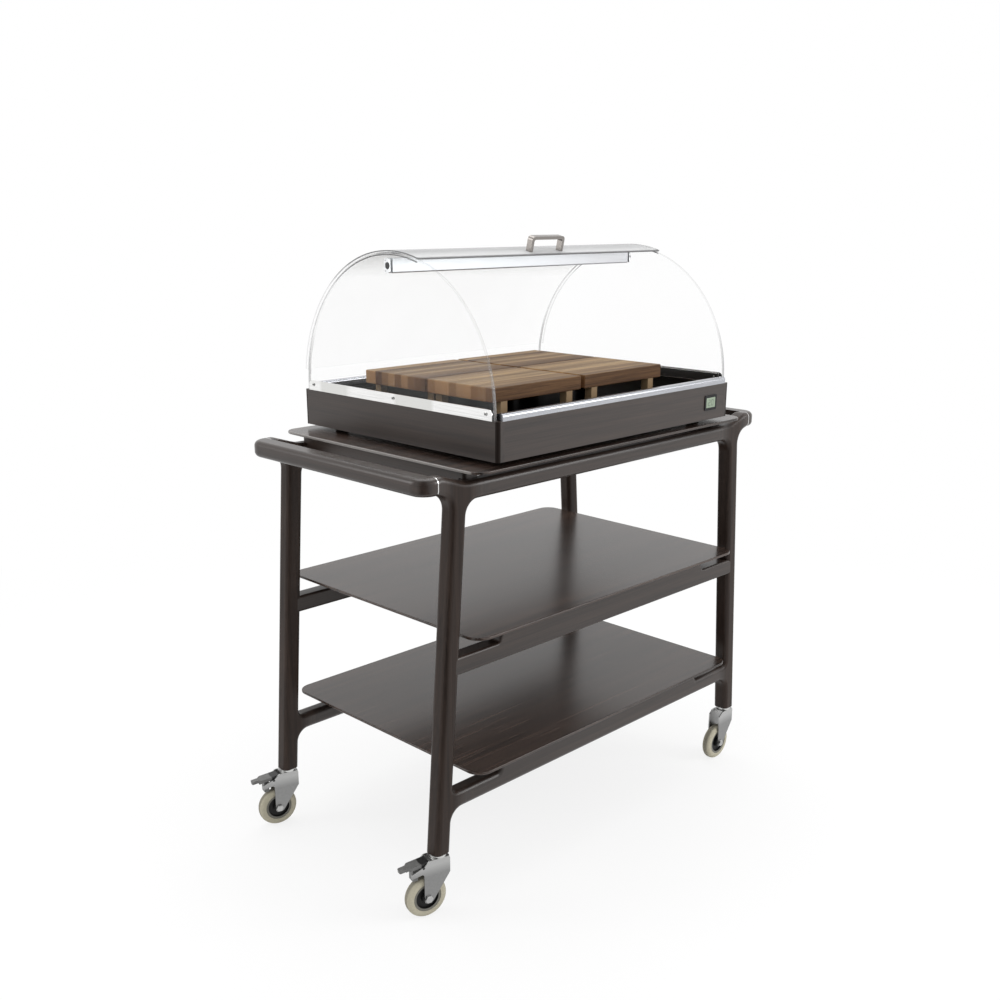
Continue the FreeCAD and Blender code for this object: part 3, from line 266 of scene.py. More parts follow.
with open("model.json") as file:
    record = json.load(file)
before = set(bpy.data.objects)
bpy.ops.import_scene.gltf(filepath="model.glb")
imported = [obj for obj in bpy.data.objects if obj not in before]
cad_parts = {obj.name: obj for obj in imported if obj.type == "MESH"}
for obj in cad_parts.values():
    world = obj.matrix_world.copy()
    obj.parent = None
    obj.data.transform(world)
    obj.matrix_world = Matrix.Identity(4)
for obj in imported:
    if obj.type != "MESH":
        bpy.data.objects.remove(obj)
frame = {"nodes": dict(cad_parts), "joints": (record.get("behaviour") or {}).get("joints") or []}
NODES = frame["nodes"]
JOINTS = {joint["name"]: joint for joint in frame["joints"]}
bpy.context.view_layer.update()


def rgba(colour):
    """A colour with full alpha."""
    return (*colour, 1.0)


def shaded(colour, share):
    """A colour made darker or lighter by a share."""
    return tuple(min(1.0, value * share) for value in colour)


class Tree:
    """A node tree and short ways to add its nodes."""

    def __init__(self, tree):
        self.tree = tree
        tree.nodes.clear()

    def add(self, kind, **settings):
        """A new node with its settings."""
        node = self.tree.nodes.new(kind)
        for name, value in settings.items():
            setattr(node, name, value)
        return node

    def join(self, source, target):
        """A link between two sockets."""
        self.tree.links.new(source, target)

    def feed(self, value, socket):
        """A socket linked to another one or set to a plain value."""
        if isinstance(value, bpy.types.NodeSocket):
            self.join(value, socket)
        else:
            socket.default_value = value

    def place(self):
        """Where a point lies on the model at rest, in metres."""
        return self.add("ShaderNodeTexCoord").outputs["Object"]

    def level(self, factor, to=(0.0, 1.0), span=(0.0, 1.0), interpolation="LINEAR"):
        """A span of a factor stretched to another range."""
        node = self.add("ShaderNodeMapRange", interpolation_type=interpolation)
        node.inputs["From Min"].default_value = span[0]
        node.inputs["From Max"].default_value = span[1]
        node.inputs["To Min"].default_value = to[0]
        node.inputs["To Max"].default_value = to[1]
        self.join(factor, node.inputs["Value"])
        return node.outputs["Result"]

    def sums(self, operation, first, second=0.0):
        """One step of arithmetic. Each side is a socket or a number."""
        node = self.add("ShaderNodeMath", operation=operation)
        self.feed(first, node.inputs[0])
        self.feed(second, node.inputs[1])
        return node.outputs["Value"]

    def vectors(self, operation, first, second=(0.0, 0.0, 0.0), output="Vector"):
        """One step of vector arithmetic. Each side is a socket or a plain vector."""
        node = self.add("ShaderNodeVectorMath", operation=operation)
        self.feed(first, node.inputs[0])
        self.feed(second, node.inputs[1])
        return node.outputs[output]

    def ray_mix(self, rays, plain, seen):
        """One shader for most rays and another for the named kinds of ray."""
        path = self.add("ShaderNodeLightPath")
        factor = path.outputs[rays[0]]
        for ray in rays[1:]:
            factor = self.sums("MAXIMUM", factor, path.outputs[ray])
        return self.shader_mix(factor, plain, seen)

    def shader_mix(self, factor, first, second):
        """Two shaders mixed."""
        mix = self.add("ShaderNodeMixShader")
        self.join(factor, mix.inputs["Fac"])
        self.join(first, mix.inputs[1])
        self.join(second, mix.inputs[2])
        return mix.outputs["Shader"]

    def room_white(self, direction):
        """White of the studio along a direction, dim in the wedge where the room is dark."""
        flat = self.vectors("MULTIPLY", direction, (1.0, 1.0, 0.0))
        unit = self.vectors("NORMALIZE", flat)
        toward = self.vectors("DOT_PRODUCT", unit, DARK_SIDE, "Value")
        return self.level(toward, (1.0, DARK_STRENGTH), DARK_WEDGE)


class Surface(Tree):
    """One material with a single shader."""

    def __init__(self, name, roughness=0.5, metallic=0.0, specular=PLAIN_SPECULAR):
        self.material = bpy.data.materials.new(name)
        self.material.use_nodes = True
        super().__init__(self.material.node_tree)
        self.tone = None
        shader = self.add("ShaderNodeBsdfPrincipled")
        output = self.add("ShaderNodeOutputMaterial")
        self.join(shader.outputs["BSDF"], output.inputs["Surface"])
        self.inputs = shader.inputs
        self.inputs["Roughness"].default_value = roughness
        self.inputs["Metallic"].default_value = metallic
        self.inputs["Specular IOR Level"].default_value = specular

    def stretched(self, scale):
        """Places scaled apart by a factor along each axis."""
        mapping = self.add("ShaderNodeMapping")
        mapping.inputs["Scale"].default_value = scale
        self.join(self.place(), mapping.inputs["Vector"])
        return mapping.outputs["Vector"]

    def noise(self, vector, scale=1.0, detail=3.0, roughness=0.55):
        """Noise between 0 and 1 at a vector."""
        node = self.add("ShaderNodeTexNoise")
        node.inputs["Scale"].default_value = scale
        node.inputs["Detail"].default_value = detail
        node.inputs["Roughness"].default_value = roughness
        self.join(vector, node.inputs["Vector"])
        return node.outputs["Fac"]

    def haze(self):
        """The faint cloudiness of clear plastic."""
        return self.noise(self.place(), scale=HAZE_SCALE, detail=2.0)

    def ramp(self, factor, places, colours):
        """Colours set at places along a factor."""
        node = self.add("ShaderNodeValToRGB")
        while len(node.color_ramp.elements) < len(colours):
            node.color_ramp.elements.new(0.5)
        for element, place, colour in zip(node.color_ramp.elements, places, colours):
            element.position = place
            element.color = rgba(colour)
        self.join(factor, node.inputs["Fac"])
        return node.outputs["Color"]

    def mix(self, factor, first, second, blend="MIX"):
        """Two colours mixed. Each is a socket or a plain colour."""
        node = self.add("ShaderNodeMix", data_type="RGBA", blend_type=blend)
        sockets = [socket for socket in node.inputs if socket.type == "RGBA"]
        for socket, value in zip(sockets, (first, second)):
            self.feed(rgba(value) if isinstance(value, tuple) else value, socket)
        self.join(factor, node.inputs["Factor"])
        return next(socket for socket in node.outputs if socket.type == "RGBA")

    def axis(self, vector, letter):
        """One coordinate of a vector."""
        node = self.add("ShaderNodeSeparateXYZ")
        self.join(vector, node.inputs["Vector"])
        return node.outputs[letter]

    def size(self, vector, letter):
        """One coordinate of a vector without its sign."""
        return self.sums("ABSOLUTE", self.axis(vector, letter))

    def normal(self):
        """The way that a face looks at rest."""
        return self.add("ShaderNodeTexCoord").outputs["Normal"]

    def reach(self, centre, direction):
        """Distance from a line through a centre."""
        offset = self.vectors("SUBTRACT", self.place(), centre)
        across = self.vectors("CROSS_PRODUCT", offset, direction)
        return self.vectors("LENGTH", across, output="Value")

    def colour(self, source):
        """Link the base colour and keep it for further mixing."""
        self.tone = source
        self.join(source, self.inputs["Base Color"])

    def sheen(self, factor, span):
        """Roughness along a span."""
        self.join(self.level(factor, span), self.inputs["Roughness"])

    def gloss(self, source):
        """Link the specular level."""
        self.join(source, self.inputs["Specular IOR Level"])

    def opacity(self, source):
        """Link the alpha."""
        self.join(source, self.inputs["Alpha"])

    def bump(self, height, relief):
        """Fine relief from a height."""
        node = self.add("ShaderNodeBump")
        node.inputs["Strength"].default_value = relief[0]
        node.inputs["Distance"].default_value = relief[1]
        self.join(height, node.inputs["Height"])
        self.join(node.outputs["Normal"], self.inputs["Normal"])


def along(letter, across, lengthwise):
    """A scale that stretches a pattern along one axis."""
    return tuple(lengthwise if axis == letter else across for axis in "XYZ")


def timber(name, grain, sheen=TIMBER_SHEEN, tones=(TIMBER_DARK, TIMBER_LIGHT), specular=PLAIN_SPECULAR,
           across=GRAIN_FINE):
    """Satin timber with its grain along one axis."""
    made = Surface(name, specular=specular)
    fine = made.noise(made.stretched(along(grain, across, GRAIN_LONG)), detail=4.0, roughness=0.65)
    broad = made.noise(made.stretched(along(grain, GRAIN_BROAD, GRAIN_BROAD_LONG)), detail=2.0)
    fine_part = made.sums("MULTIPLY", fine, FINE_SHARE)
    broad_part = made.sums("MULTIPLY", broad, BROAD_SHARE)
    made.colour(made.ramp(made.sums("ADD", fine_part, broad_part), GRAIN_CONTRAST, tones))
    made.sheen(fine, sheen)
    made.bump(fine, TIMBER_RELIEF)
    return made


def leg_timber(name):
    """A leg's timber: matt on the leaning shaft and as glossy as the rails on its stubs and head."""
    made = timber(name, "Z", specular=LEG_SPECULAR)
    place = made.place()
    lean = made.sums("MULTIPLY", made.axis(place, "Z"), LEG_SLOPE)
    centre = made.sums("SUBTRACT", LEG_FOOT_X + LEG_FOOT_Z * LEG_SLOPE, lean)
    reach = made.sums("ABSOLUTE", made.sums("SUBTRACT", made.size(place, "X"), centre))
    made.gloss(made.level(reach, (LEG_SPECULAR, PLAIN_SPECULAR), (LEG_HALF, LEG_HALF + LEG_BLEND)))
    return made


def base_timber(name, grain):
    """The display base's boards, with a painted dark reflection along their rounded vertical corners."""
    made = timber(name, grain)
    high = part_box("base_ends")[1]
    place = made.place()
    reach = made.sums("ADD", made.size(place, "X"), made.size(place, "Y"))
    outer = high.x + high.y
    # Painted dark reflection: a narrow band at the base's rounded vertical corners is darkened and made less
    # glossy.
    corner = made.level(reach, span=(outer - CORNER_REFLECTION_LINE, outer - CORNER_REFLECTION_LINE * CORNER_REFLECTION_FADE))
    made.colour(made.mix(corner, made.tone, TIMBER_DARK))
    made.gloss(made.level(corner, (PLAIN_SPECULAR, CORNER_REFLECTION_SPECULAR)))
    return made


def shelf_timber(name):
    """A board's laminate, with plain streaks along it."""
    return timber(name, "X", SHELF_SHEEN, (SHELF_DARK, SHELF_LIGHT), across=SHELF_GRAIN)


def edged_board(name):
    """The top board, with a painted highlight along its two short edges."""
    made = shelf_timber(name)
    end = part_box("top_board")[1].x
    reach = made.size(made.place(), "X")
    # Painted highlight: a lighter line along the board's two short edges.
    rim = made.level(reach, span=(end - BOARD_HIGHLIGHT_LINE, end - BOARD_HIGHLIGHT_LINE / 2))
    made.colour(made.mix(rim, made.tone, BOARD_EDGE_HIGHLIGHT))
    return made


def brushed(name, colour, grain, roughness, spread, slant=WHITE):
    """Metal with fine brush lines along one axis. The slant tone dims what it mirrors at a slant."""
    made = Surface(name, metallic=1.0)
    made.inputs["Specular Tint"].default_value = rgba(slant)
    lines = made.noise(made.stretched(along(grain, BRUSH_FINE, BRUSH_LONG)), detail=2.0)
    made.colour(made.ramp(lines, MOTTLE_SPAN, (shaded(colour, BRUSH_DIM), colour)))
    made.sheen(lines, (roughness, roughness + spread))
    made.bump(lines, BRUSH_RELIEF)
    return made


def patched_trim(name):
    """Polished trim along Y, with a few broad grey patches painted as reflections."""
    made = brushed(name, STEEL_POLISHED, "Y", roughness=0.10, spread=0.08)
    reflection_patches = made.noise(made.stretched(along("Y", 0.0, PATCH_LONG)), detail=0.0)
    # Painted reflection: broad grey patches mixed into the polished trim.
    made.colour(made.mix(made.level(reflection_patches, span=PATCH_SPAN), made.tone, STEEL_PATCH_REFLECTION))
    return made


def bar_metal(name):
    """The cover's bar: satin metal, with painted shade that darkens it a little towards the left end, and a
    painted shade line along its foot.
    """
    made = Surface(name, metallic=1.0)
    low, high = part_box("cover_bar")
    lines = made.noise(made.stretched(along("X", BRUSH_FINE, BRUSH_LONG)), detail=2.0)
    place = made.place()
    across = made.level(made.axis(place, "X"), span=(low.x, high.x))
    # Painted shade: the colour darkens a little towards the left end.
    face = made.ramp(across, BAR_SPAN, (BAR_LEFT, BAR_RIGHT))
    # Painted shade: a grey line along the bar's foot.
    under_shade_span = (low.z + BAR_SHADE_LINE * BAR_SHADE_FADE, low.z + BAR_SHADE_LINE)
    foot = made.level(made.axis(place, "Z"), (1.0, 0.0), under_shade_span)
    made.colour(made.mix(foot, face, BAR_UNDER_SHADE))
    made.sheen(lines, BAR_SHEEN)
    made.bump(lines, BRUSH_RELIEF)
    return made


def cast(name, colour, roughness, metallic=0.0, mottle=0.12, scale=CAST_GRAIN, specular=PLAIN_SPECULAR):
    """A moulded, plated or painted surface with a faint mottle."""
    made = Surface(name, metallic=metallic, specular=specular)
    grain = made.noise(made.place(), scale=scale)
    made.colour(made.ramp(grain, MOTTLE_SPAN, (shaded(colour, 1.0 - mottle), shaded(colour, 1.0 + mottle))))
    made.sheen(grain, (roughness - CAST_SMOOTHER, roughness + CAST_ROUGHER))
    made.bump(grain, CAST_RELIEF)
    return made


def fork_metal(name):
    """Zinc plate, with a painted highlight rising towards the fork's crown."""
    made = cast(name, ZINC, roughness=0.40, metallic=1.0, mottle=0.06)
    # Painted highlight: the zinc turns brighter towards the top of the fork.
    crown_highlight = made.level(made.axis(made.place(), "Z"), span=CROWN_HIGHLIGHT_RISE)
    made.colour(made.mix(crown_highlight, made.tone, CROWN_HIGHLIGHT_ZINC))
    return made


def clear_panel(name, axis):
    """A clear end panel: a faint veil and a thin grey line inside its rim, painted as reflection and
    refraction at the edge, which fades with height.
    """
    made = Surface(name, roughness=CLEAR_ROUGHNESS, specular=PANEL_SPECULAR)
    low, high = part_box("end_panel_left")
    radius = high.z - axis.z
    line = made.level(made.reach(axis, X_AXIS), span=(radius - RIM_LINE, radius - RIM_LINE / 2))
    rise = made.axis(made.place(), "Z")
    seen = made.level(rise, PANEL_RIM, (low.z + PANEL_RIM_RISE[0], low.z + PANEL_RIM_RISE[1]))
    veil = made.level(made.haze(), PANEL_VEIL)
    made.opacity(made.sums("MAXIMUM", veil, made.sums("MULTIPLY", line, seen)))
    # Painted reflection and refraction: a grey line inside the panel's rim.
    made.colour(made.mix(line, CLEAR_TONE, SLANT_REFLECTION_GREY))
    return made


def clear_lip(name, axis):
    """The lid's end lips: clear between two grey edges, painted as reflection and refraction, which fade
    towards the back.
    """
    made = Surface(name, roughness=CLEAR_ROUGHNESS)
    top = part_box("lid_lips")[1].z
    outer = top - axis.z
    inner = outer - LIP_DEPTH
    reach = made.reach(axis, X_AXIS)
    rim = made.level(reach, span=(outer - RIM_LINE, outer - RIM_LINE / 2))
    foot = made.level(reach, (1.0, 0.0), (inner + RIM_LINE / 2, inner + RIM_LINE))
    edge = made.sums("MAXIMUM", rim, foot)
    rise = made.axis(made.place(), "Z")
    seen = made.level(rise, LIP_EDGE, (top - LIP_EDGE_DROP[0], top - LIP_EDGE_DROP[1]))
    made.opacity(made.sums("MAXIMUM", made.sums("MULTIPLY", edge, seen), LIP_VEIL))
    # Painted reflection and refraction: grey lines at the lip's edges, with the gloss taken off there.
    made.colour(made.mix(edge, CLEAR_TONE, EDGE_REFLECTION_GREY))
    made.gloss(made.level(edge, (PLAIN_SPECULAR, 0.0)))
    return made


def clear_shell(name, axis, edge_angle):
    """A clear curved sheet: hardly seen face on, with painted grey reflection at a slant and a painted dark
    reflection line at its leading edge.
    """
    made = Surface(name, roughness=CLEAR_ROUGHNESS)
    slant = made.add("ShaderNodeLayerWeight")
    slant.inputs["Blend"].default_value = SLANT_BLEND
    place = made.place()
    rise = made.sums("SUBTRACT", made.axis(place, "Z"), axis.z)
    forward = made.sums("MULTIPLY", made.axis(place, "Y"), -1.0)
    angle = made.sums("ARCTAN2", rise, forward)
    front = made.level(angle, (1.0, SLANT_BEHIND), SLANT_FADE)
    facing = made.level(slant.outputs["Facing"], SHELL_SLANT, SHELL_FACING)
    grazing_reflection = made.sums("MULTIPLY", facing, front)
    lid_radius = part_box("lid_shell")[1].z - axis.z
    edge = made.level(angle, (1.0, 0.0), (edge_angle, edge_angle + LID_EDGE_LINE / lid_radius))
    veil = made.sums("ADD", made.level(made.haze(), SHELL_VEIL), grazing_reflection)
    made.opacity(made.sums("MAXIMUM", veil, made.sums("MULTIPLY", edge, SHELL_EDGE)))
    made.gloss(made.level(made.sums("MAXIMUM", grazing_reflection, edge), (PLAIN_SPECULAR, 0.0), SHELL_GLOSS_SPAN))
    # Painted reflection: grey where the sheet is seen at a slant, and a dark line at its leading edge.
    slanted = made.mix(grazing_reflection, CLEAR_TONE, SLANT_REFLECTION_GREY)
    made.colour(made.mix(edge, slanted, EDGE_REFLECTION_GREY))
    return made


def block_wood(name):
    """Butcher block of mixed staves along X, with thin glue lines, on pale feet."""
    made = Surface(name, specular=BLOCK_SPECULAR)
    place = made.place()
    row = made.sums("DIVIDE", made.axis(place, "Y"), STAVE_WIDTH)
    pick = made.add("ShaderNodeTexWhiteNoise", noise_dimensions="1D")
    made.join(made.sums("FLOOR", row), pick.inputs["W"])
    last = len(BLOCK_TONES) - 1
    steps = [index / last for index in range(len(BLOCK_TONES))]
    staves = made.ramp(pick.outputs["Value"], steps, BLOCK_TONES)
    fine = made.noise(made.stretched(along("X", BLOCK_FINE, BLOCK_FINE_LONG)), detail=5.0, roughness=0.7)
    streaked = made.mix(made.level(fine, FINE_STREAK, FINE_STREAK_SPAN), BLOCK_STREAK, staves)
    broad = made.noise(made.stretched(along("X", BLOCK_BROAD, BLOCK_BROAD_LONG)), detail=2.0)
    streaked = made.mix(made.level(broad, BROAD_STREAK, BROAD_STREAK_SPAN), streaked, BLOCK_STREAK)
    seam = made.level(made.sums("FRACT", row), span=(0.0, GLUE_LINE))
    glued = made.mix(seam, BLOCK_STREAK, streaked)
    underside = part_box("serving_board_front_left")[1].z - SERVING_THICKNESS
    height = made.level(made.axis(place, "Z"), span=(underside - FOOT_FADE, underside + FOOT_FADE))
    normal = made.normal()
    # End faces take an end-grain tone with part painted shade; faces towards Y take painted shade.
    end_grain = made.level(made.size(normal, "X"), span=FACE_TURN)
    side_face_shade = made.level(made.size(normal, "Y"), span=FACE_TURN)
    faces = made.mix(side_face_shade, made.mix(end_grain, glued, staves), SIDE_SHADE, "MULTIPLY")
    made.colour(made.mix(height, FOOT_TONE, made.mix(end_grain, faces, END_SHADE, "MULTIPLY")))
    made.sheen(fine, BLOCK_SHEEN)
    made.bump(fine, BLOCK_RELIEF)
    return made


def hub_surface(name, roll):
    """A wheel's centre: black inside a radius, with a grey rim round it."""
    made = Surface(name, specular=WHEEL_SPECULAR)
    reach = made.reach(roll["pos_m"], roll["axis"])
    grain = made.noise(made.place(), scale=WHEEL_GRAIN)
    fade = (WHEEL_BLACK_RADIUS - WHEEL_BLACK_FADE, WHEEL_BLACK_RADIUS + WHEEL_BLACK_FADE)
    rubbed = made.ramp(grain, MOTTLE_SPAN, (shaded(RIM_TONE, WHEEL_DIM), RIM_TONE))
    made.colour(made.mix(made.level(reach, span=fade), HUB_BLACK, rubbed))
    made.sheen(grain, HUB_SHEEN)
    made.bump(grain, WHEEL_RELIEF)
    return made


def tyre_surface(name, roll):
    """A tyre: pale side walls and a tread darkened by painted shade."""
    made = Surface(name, specular=WHEEL_SPECULAR)
    grain = made.noise(made.place(), scale=WHEEL_GRAIN)
    sideways = made.vectors("DOT_PRODUCT", made.normal(), roll["axis"], "Value")
    wall = made.level(made.sums("ABSOLUTE", sideways), span=WALL_TURN)
    rubbed = made.ramp(grain, MOTTLE_SPAN, (shaded(TYRE_TONE, WHEEL_DIM), TYRE_TONE))
    # Painted shade: the tread, facing away from the axle, is darker than the side walls.
    made.colour(made.mix(wall, TREAD_SHADE_TONE, rubbed))
    made.sheen(grain, TYRE_SHEEN)
    made.bump(grain, WHEEL_RELIEF)
    return made


def pedal_surface(name, swivel):
    """A brake pedal: black at its root by the swivel and dark grey towards the toe."""
    made = Surface(name)
    reach = made.reach(swivel["pos_m"], swivel["axis"])
    grain = made.noise(made.place(), scale=PEDAL_GRAIN)
    toe = made.ramp(grain, MOTTLE_SPAN, (shaded(PEDAL_TONE, PEDAL_DIM), PEDAL_TONE))
    outward = made.level(reach, span=(PEDAL_BLACK_REACH, PEDAL_BLACK_REACH + PEDAL_BLACK_FADE))
    made.colour(made.mix(outward, HUB_BLACK, toe))
    made.sheen(grain, PEDAL_SHEEN)
    made.bump(grain, PEDAL_RELIEF)
    return made


def paint(surface, *names):
    """Give CAD nodes a material."""
    for name in names:
        node = NODES[name]
        node.data.materials.clear()
        node.data.materials.append(surface.material)


def named(start):
    """The CAD nodes whose names begin with a word."""
    return sorted(name for name in NODES if name.startswith(start))


def paint_frame():
    """The timber frame, its boards and handles."""
    paint(timber("timber_grain_X", "X"), "top_rails", "middle_rails", "bottom_rails")
    paint(timber("timber_grain_Y", "Y"), "cross_rails")
    paint(base_timber("base_timber_X", "X"), "base_front", "base_back")
    paint(base_timber("base_timber_Y", "Y"), "base_ends")
    paint(leg_timber("leg_timber"), *named("leg_"))
    paint(timber("handle_timber", "Y", HANDLE_SHEEN), *named("push_handle_"))
    paint(shelf_timber("board_laminate"), "middle_shelf", "bottom_shelf", "base_floor")
    paint(edged_board("top_board_laminate"), "top_board")
    paint(timber("dowel_wood", "Z", DOWEL_SHEEN, (DOWEL_DARK, DOWEL_LIGHT)), "board_dowels")


def paint_metal():
    """Steel, aluminium and plated pieces."""
    paint(brushed("polished_steel", STEEL_POLISHED, "Y", roughness=0.10, spread=0.08), "handle_spacers")
    paint(patched_trim("trim_steel"), "side_trims")
    paint(brushed("clamp_steel", STEEL_CLAMP, "Y", roughness=0.25, spread=0.12), "clamp_bars")
    paint(brushed("rail_steel", STEEL_RAIL, "X", roughness=0.20, spread=0.10), "steel_rails")
    paint(cast("bolt_steel", STEEL_PLAIN, roughness=0.32, metallic=1.0), "handle_bolts", "trim_screws")
    # Painted shade: the steel tray gets a near-black colour and a dim slant tone for the deep shade under the
    # serving boards.
    paint(brushed("tray_steel", TRAY_SHADE_TONE, "X", roughness=0.26, spread=0.14, slant=TRAY_SLANT_SHADE), "well_tray")
    paint(fork_metal("zinc_plate"), *named("castor_fork_"), *named("castor_axle_"))
    paint(cast("stem_zinc", STEM_ZINC, roughness=0.30, metallic=1.0, mottle=0.06), "castor_stems")
    paint(bar_metal("bar_aluminium"), "cover_bar")
    paint(cast("cap_metal", CAP_TONE, roughness=0.40, metallic=1.0, mottle=0.05), "cover_bar_caps")
    paint(brushed("lid_handle_metal", HANDLE_METAL, "X", roughness=0.24, spread=0.12), "lid_handle")


def paint_plain():
    """Plastics, rubber and the serving boards."""
    paint(cast("foot_rubber", FOOT_RUBBER, roughness=0.7), "base_feet")
    paint(cast("cold_plate_plastic", COLD_PLATE_TONE, roughness=0.45), "cold_plates")
    paint(cast("meter_plastic", BEZEL_BLACK, roughness=0.28, specular=BEZEL_SPECULAR), "thermometer_bezel")
    screen = cast("meter_window", LCD_TONE, roughness=0.22, mottle=0.06, scale=SCREEN_GRAIN,
                  specular=SCREEN_SPECULAR)
    paint(screen, "thermometer_screen")
    paint(block_wood("butcher_block"), *named("serving_board_"))


def paint_cover():
    """The clear end panels, lips, lid and back shell."""
    axis = Vector(JOINTS["lid_roll"]["pos_m"])
    low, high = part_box("lid_shell")
    overhead = math.pi / 2
    lid_edge = overhead - math.asin(max(0.0, -low.y) / (high.z - axis.z))
    paint(clear_panel("clear_end", axis), *named("end_panel_"))
    paint(clear_lip("clear_lip", axis), "lid_lips")
    paint(clear_shell("clear_lid", axis, lid_edge), "lid_shell")
    paint(clear_shell("clear_back", axis, overhead), "back_shell")


def paint_castors():
    """Wheels and brake pedals."""
    for place in PLACES:
        roll = JOINTS["roll_" + place]
        paint(hub_surface("rim_" + place, roll), "castor_hub_" + place)
        paint(tyre_surface("tread_" + place, roll), "castor_tyre_" + place)
        if "brake_" + place in JOINTS:
            paint(pedal_surface("pedal_" + place, JOINTS["swivel_" + place]), "brake_pedal_" + place)


def mesh_piece(name, build, surface, body):
    """A new piece made by a function that fills a mesh, riding on a body."""
    made = bmesh.new()
    build(made)
    data = bpy.data.meshes.new(name)
    made.to_mesh(data)
    made.free()
    data.materials.append(surface.material)
    piece = bpy.data.objects.new(name, data)
    bpy.context.scene.collection.objects.link(piece)
    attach(piece, body)


def facing(direction):
    """A turn that points a piece's own Z along a direction."""
    return Vector(direction).to_track_quat("Z", "Y").to_matrix().to_4x4()


def add_prism(made, place, direction, radius, depth, sides, chamfer):
    """A flat-sided nut or plug standing on a place, with its outer rim chamfered."""
    turn = Matrix.Translation(place) @ facing(direction)
    rings = ((radius, 0.0), (radius, depth - chamfer), (radius - chamfer, depth))
    loops = []
    for size, rise in rings:
        loop = []
        for index in range(sides):
            angle = 2 * math.pi * index / sides
            corner = Vector((size * math.cos(angle), size * math.sin(angle), rise))
            loop.append(made.verts.new(turn @ corner))
        loops.append(loop)
    for lower, upper in zip(loops, loops[1:]):
        for index in range(sides):
            after = (index + 1) % sides
            made.faces.new((lower[index], lower[after], upper[after], upper[index]))
    made.faces.new(loops[-1])
    made.faces.new(list(reversed(loops[0])))


def dress_axles():
    """Hexagon nuts over the axle ends of each castor."""
    surface = cast("nut_steel", NUT_ZINC, roughness=0.30, metallic=1.0)
    radius = NUT_ACROSS_FLATS / math.sqrt(3)
    low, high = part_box("castor_axle_front_right")
    half = (high.y - low.y) / 2 - AXLE_HEAD
    for place in PLACES:
        roll = JOINTS["roll_" + place]
        centre = Vector(roll["pos_m"])
        axis = Vector(roll["axis"]).normalized()

        def build(made):
            for outward in (-axis, axis):
                spot = centre + outward * half
                add_prism(made, spot, outward, radius, NUT_THICKNESS, HEXAGON, NUT_CHAMFER)

        mesh_piece("axle_nuts_" + place, build, surface, "fork_" + place)


def dress_screws():
    """Black hexagons on the heads of the trim screws, painted as the shade inside their hex recesses."""
    # Painted shade: black hexagons stand for the shade inside the screw recesses.
    surface = cast("recess_shade", RECESS_SHADE, roughness=0.5)
    low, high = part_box("trim_screws")
    height = (low.z + high.z) / 2
    head = (high.z - low.z) / 2
    depths = (low.y + head, 0.0, high.y - head)

    def build(made):
        for side, face in ((-1, low.x), (1, high.x)):
            for depth in depths:
                spot = Vector((face, depth, height))
                add_prism(made, spot, (side, 0, 0), RECESS_RADIUS, RECESS_DEPTH, HEXAGON, RECESS_CHAMFER)

    mesh_piece("screw_recesses", build, surface, "cart")


def dress_bar_ends():
    """A black octagon painted as the shade inside the opening, and three small screws, in each end cap of the
    cover's bar.
    """
    # Painted shade: a black octagon stands for the shade inside each cap's opening.
    opening_surface = cast("opening_shade", OPENING_SHADE, roughness=0.5)
    screw_surface = cast("cap_screw_steel", STEEL_PLAIN, roughness=0.35, metallic=1.0)
    low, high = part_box("cover_bar_caps")
    middle = (low.z + high.z) / 2
    opening_y = low.y + CAP_OPENING * CAP_OPENING_INSET
    screw_y = high.y - CAP_SCREW_INSET
    heights = (low.z + CAP_SCREW_INSET, middle, high.z - CAP_SCREW_INSET)
    ends = ((-1, low.x), (1, high.x))

    def build_openings(made):
        for side, face in ends:
            spot = Vector((face, opening_y, middle))
            add_prism(made, spot, (side, 0, 0), CAP_OPENING, CAP_OPENING_DEPTH, CAP_OPENING_SIDES,
                      CAP_OPENING_DEPTH / 2)

    def build_screws(made):
        for side, face in ends:
            for height in heights:
                spot = Vector((face, screw_y, height))
                add_prism(made, spot, (side, 0, 0), CAP_SCREW_RADIUS, CAP_SCREW_HEIGHT, CAP_SCREW_SIDES,
                          CAP_SCREW_HEIGHT / 3)

    mesh_piece("bar_end_openings", build_openings, opening_surface, "cart")
    mesh_piece("bar_end_screws", build_screws, screw_surface, "cart")


def dress_meter():
    """Two plain digits on the thermometer's window."""
    low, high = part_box("thermometer_screen")
    middle = (low + high) / 2

    def build(made):
        for index, strokes in enumerate(DIGITS):
            centre = middle.x + (index - 0.5) * DIGIT_GAP
            for across, up, flat in (STROKES[stroke] for stroke in strokes):
                length = (DIGIT_HALF_WIDTH if flat else DIGIT_HALF_HEIGHT / 2) * STROKE_FILL
                width, height = (length, DIGIT_STROKE) if flat else (DIGIT_STROKE, length)
                spot = Vector((centre + across * DIGIT_HALF_WIDTH, low.y, middle.z + up * DIGIT_HALF_HEIGHT))
                scale = Matrix.Diagonal((width, 2 * DIGIT_RISE, height, 1.0))
                bmesh.ops.create_cube(made, size=1.0, matrix=Matrix.Translation(spot) @ scale)

    mesh_piece("meter_digits", build, cast("lcd_ink", LCD_INK, roughness=0.4), "cart")


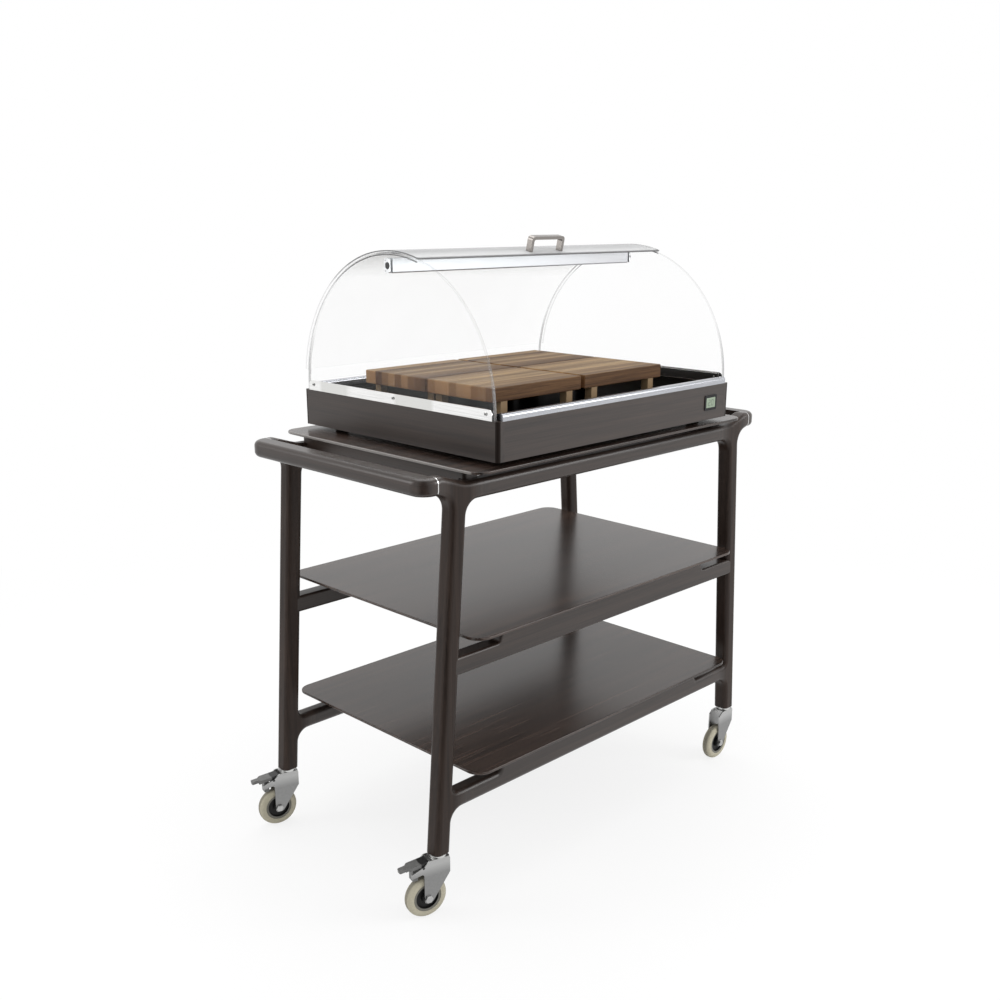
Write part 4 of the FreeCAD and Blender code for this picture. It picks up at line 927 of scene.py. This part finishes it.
def make_camera():
    """The camera at the photograph's place and angle."""
    yaw = math.radians(CAMERA_YAW_DEG)
    pitch = math.radians(CAMERA_PITCH_DEG)
    level = Vector((math.sin(yaw), math.cos(yaw), 0.0))
    up = Vector((0.0, 0.0, 1.0))
    forward = level * math.cos(pitch) - up * math.sin(pitch)
    right = forward.cross(up).normalized()
    turn = Matrix((right, right.cross(forward), -forward)).transposed()
    data = bpy.data.cameras.new("camera")
    data.lens = CAMERA_LENS
    data.sensor_width = CAMERA_SENSOR
    data.shift_y = CAMERA_SHIFT_UP
    data.clip_end = CAMERA_CLIP
    camera = bpy.data.objects.new("camera", data)
    roll = Matrix.Rotation(math.radians(-CAMERA_ROLL_DEG), 4, "Z")
    camera.matrix_world = Matrix.Translation(CAMERA_PLACE) @ turn.to_4x4() @ roll
    bpy.context.scene.collection.objects.link(camera)
    bpy.context.scene.camera = camera


def make_world():
    """White behind the object, soft light all round, and one dark side in reflections."""
    world = bpy.data.worlds.new("studio")
    bpy.context.scene.world = world
    world.use_nodes = True
    tree = Tree(world.node_tree)

    def background(strength):
        node = tree.add("ShaderNodeBackground")
        node.inputs["Color"].default_value = rgba(WHITE)
        tree.feed(strength, node.inputs["Strength"])
        return node.outputs["Background"]

    soft = background(WORLD_STRENGTH)
    white = background(1.0)
    direction = tree.add("ShaderNodeTexCoord").outputs["Generated"]
    mirrored = background(tree.room_white(direction))
    glossy = tree.ray_mix(["Is Glossy Ray"], soft, mirrored)
    surface = tree.ray_mix(["Is Camera Ray", "Is Transmission Ray"], glossy, white)
    tree.join(surface, tree.add("ShaderNodeOutputWorld").inputs["Surface"])


def floor_material():
    """Pale floor that keeps the object's shadow, fades to white and mirrors the room's dark side."""
    material = bpy.data.materials.new("floor")
    material.use_nodes = True
    tree = Tree(material.node_tree)
    shade = tree.add("ShaderNodeBsdfDiffuse")
    shade.inputs["Color"].default_value = rgba(FLOOR_TONE)
    shade = shade.outputs["BSDF"]
    white = tree.add("ShaderNodeEmission").outputs["Emission"]
    mirrored = tree.add("ShaderNodeEmission")
    place = tree.place()
    away = tree.vectors("LENGTH", place, output="Value")
    fade = tree.level(away, (FLOOR_SHADE, 0.0), SHADE_FADE, "SMOOTHSTEP")
    lighter = tree.level(away, (1.0, 0.0), FLOOR_DARK_FROM, "SMOOTHSTEP")
    tree.join(tree.sums("MAXIMUM", tree.room_white(place), lighter), mirrored.inputs["Strength"])
    lit = tree.shader_mix(fade, white, shade)
    glossy = tree.ray_mix(["Is Glossy Ray"], shade, mirrored.outputs["Emission"])
    surface = tree.ray_mix(["Is Camera Ray", "Is Transmission Ray"], glossy, lit)
    tree.join(surface, tree.add("ShaderNodeOutputMaterial").inputs["Surface"])
    return material


def make_floor():
    """A plain flat floor under the object."""
    half = FLOOR_SIZE / 2
    data = bpy.data.meshes.new("floor")
    corners = ((-half, -half, 0.0), (half, -half, 0.0), (half, half, 0.0), (-half, half, 0.0))
    data.from_pydata(corners, [], [(0, 1, 2, 3)])
    data.materials.append(floor_material())
    floor = bpy.data.objects.new("floor", data)
    bpy.context.scene.collection.objects.link(floor)


def softbox(name, place, width, height, power):
    """A large soft lamp facing the object."""
    data = bpy.data.lights.new(name, "AREA")
    data.shape = "RECTANGLE"
    data.size = width
    data.size_y = height
    data.energy = power
    lamp = bpy.data.objects.new(name, data)
    lamp.location = place
    lamp.rotation_euler = (LAMP_AIM - Vector(place)).to_track_quat("-Z", "Y").to_euler()
    bpy.context.scene.collection.objects.link(lamp)


paint_frame()
paint_metal()
paint_plain()
paint_cover()
paint_castors()
dress_axles()
dress_screws()
dress_bar_ends()
dress_meter()
make_camera()
make_world()
make_floor()
for lamp_settings in LAMPS:
    softbox(**lamp_settings)
bpy.context.scene.view_settings.view_transform = "Standard"
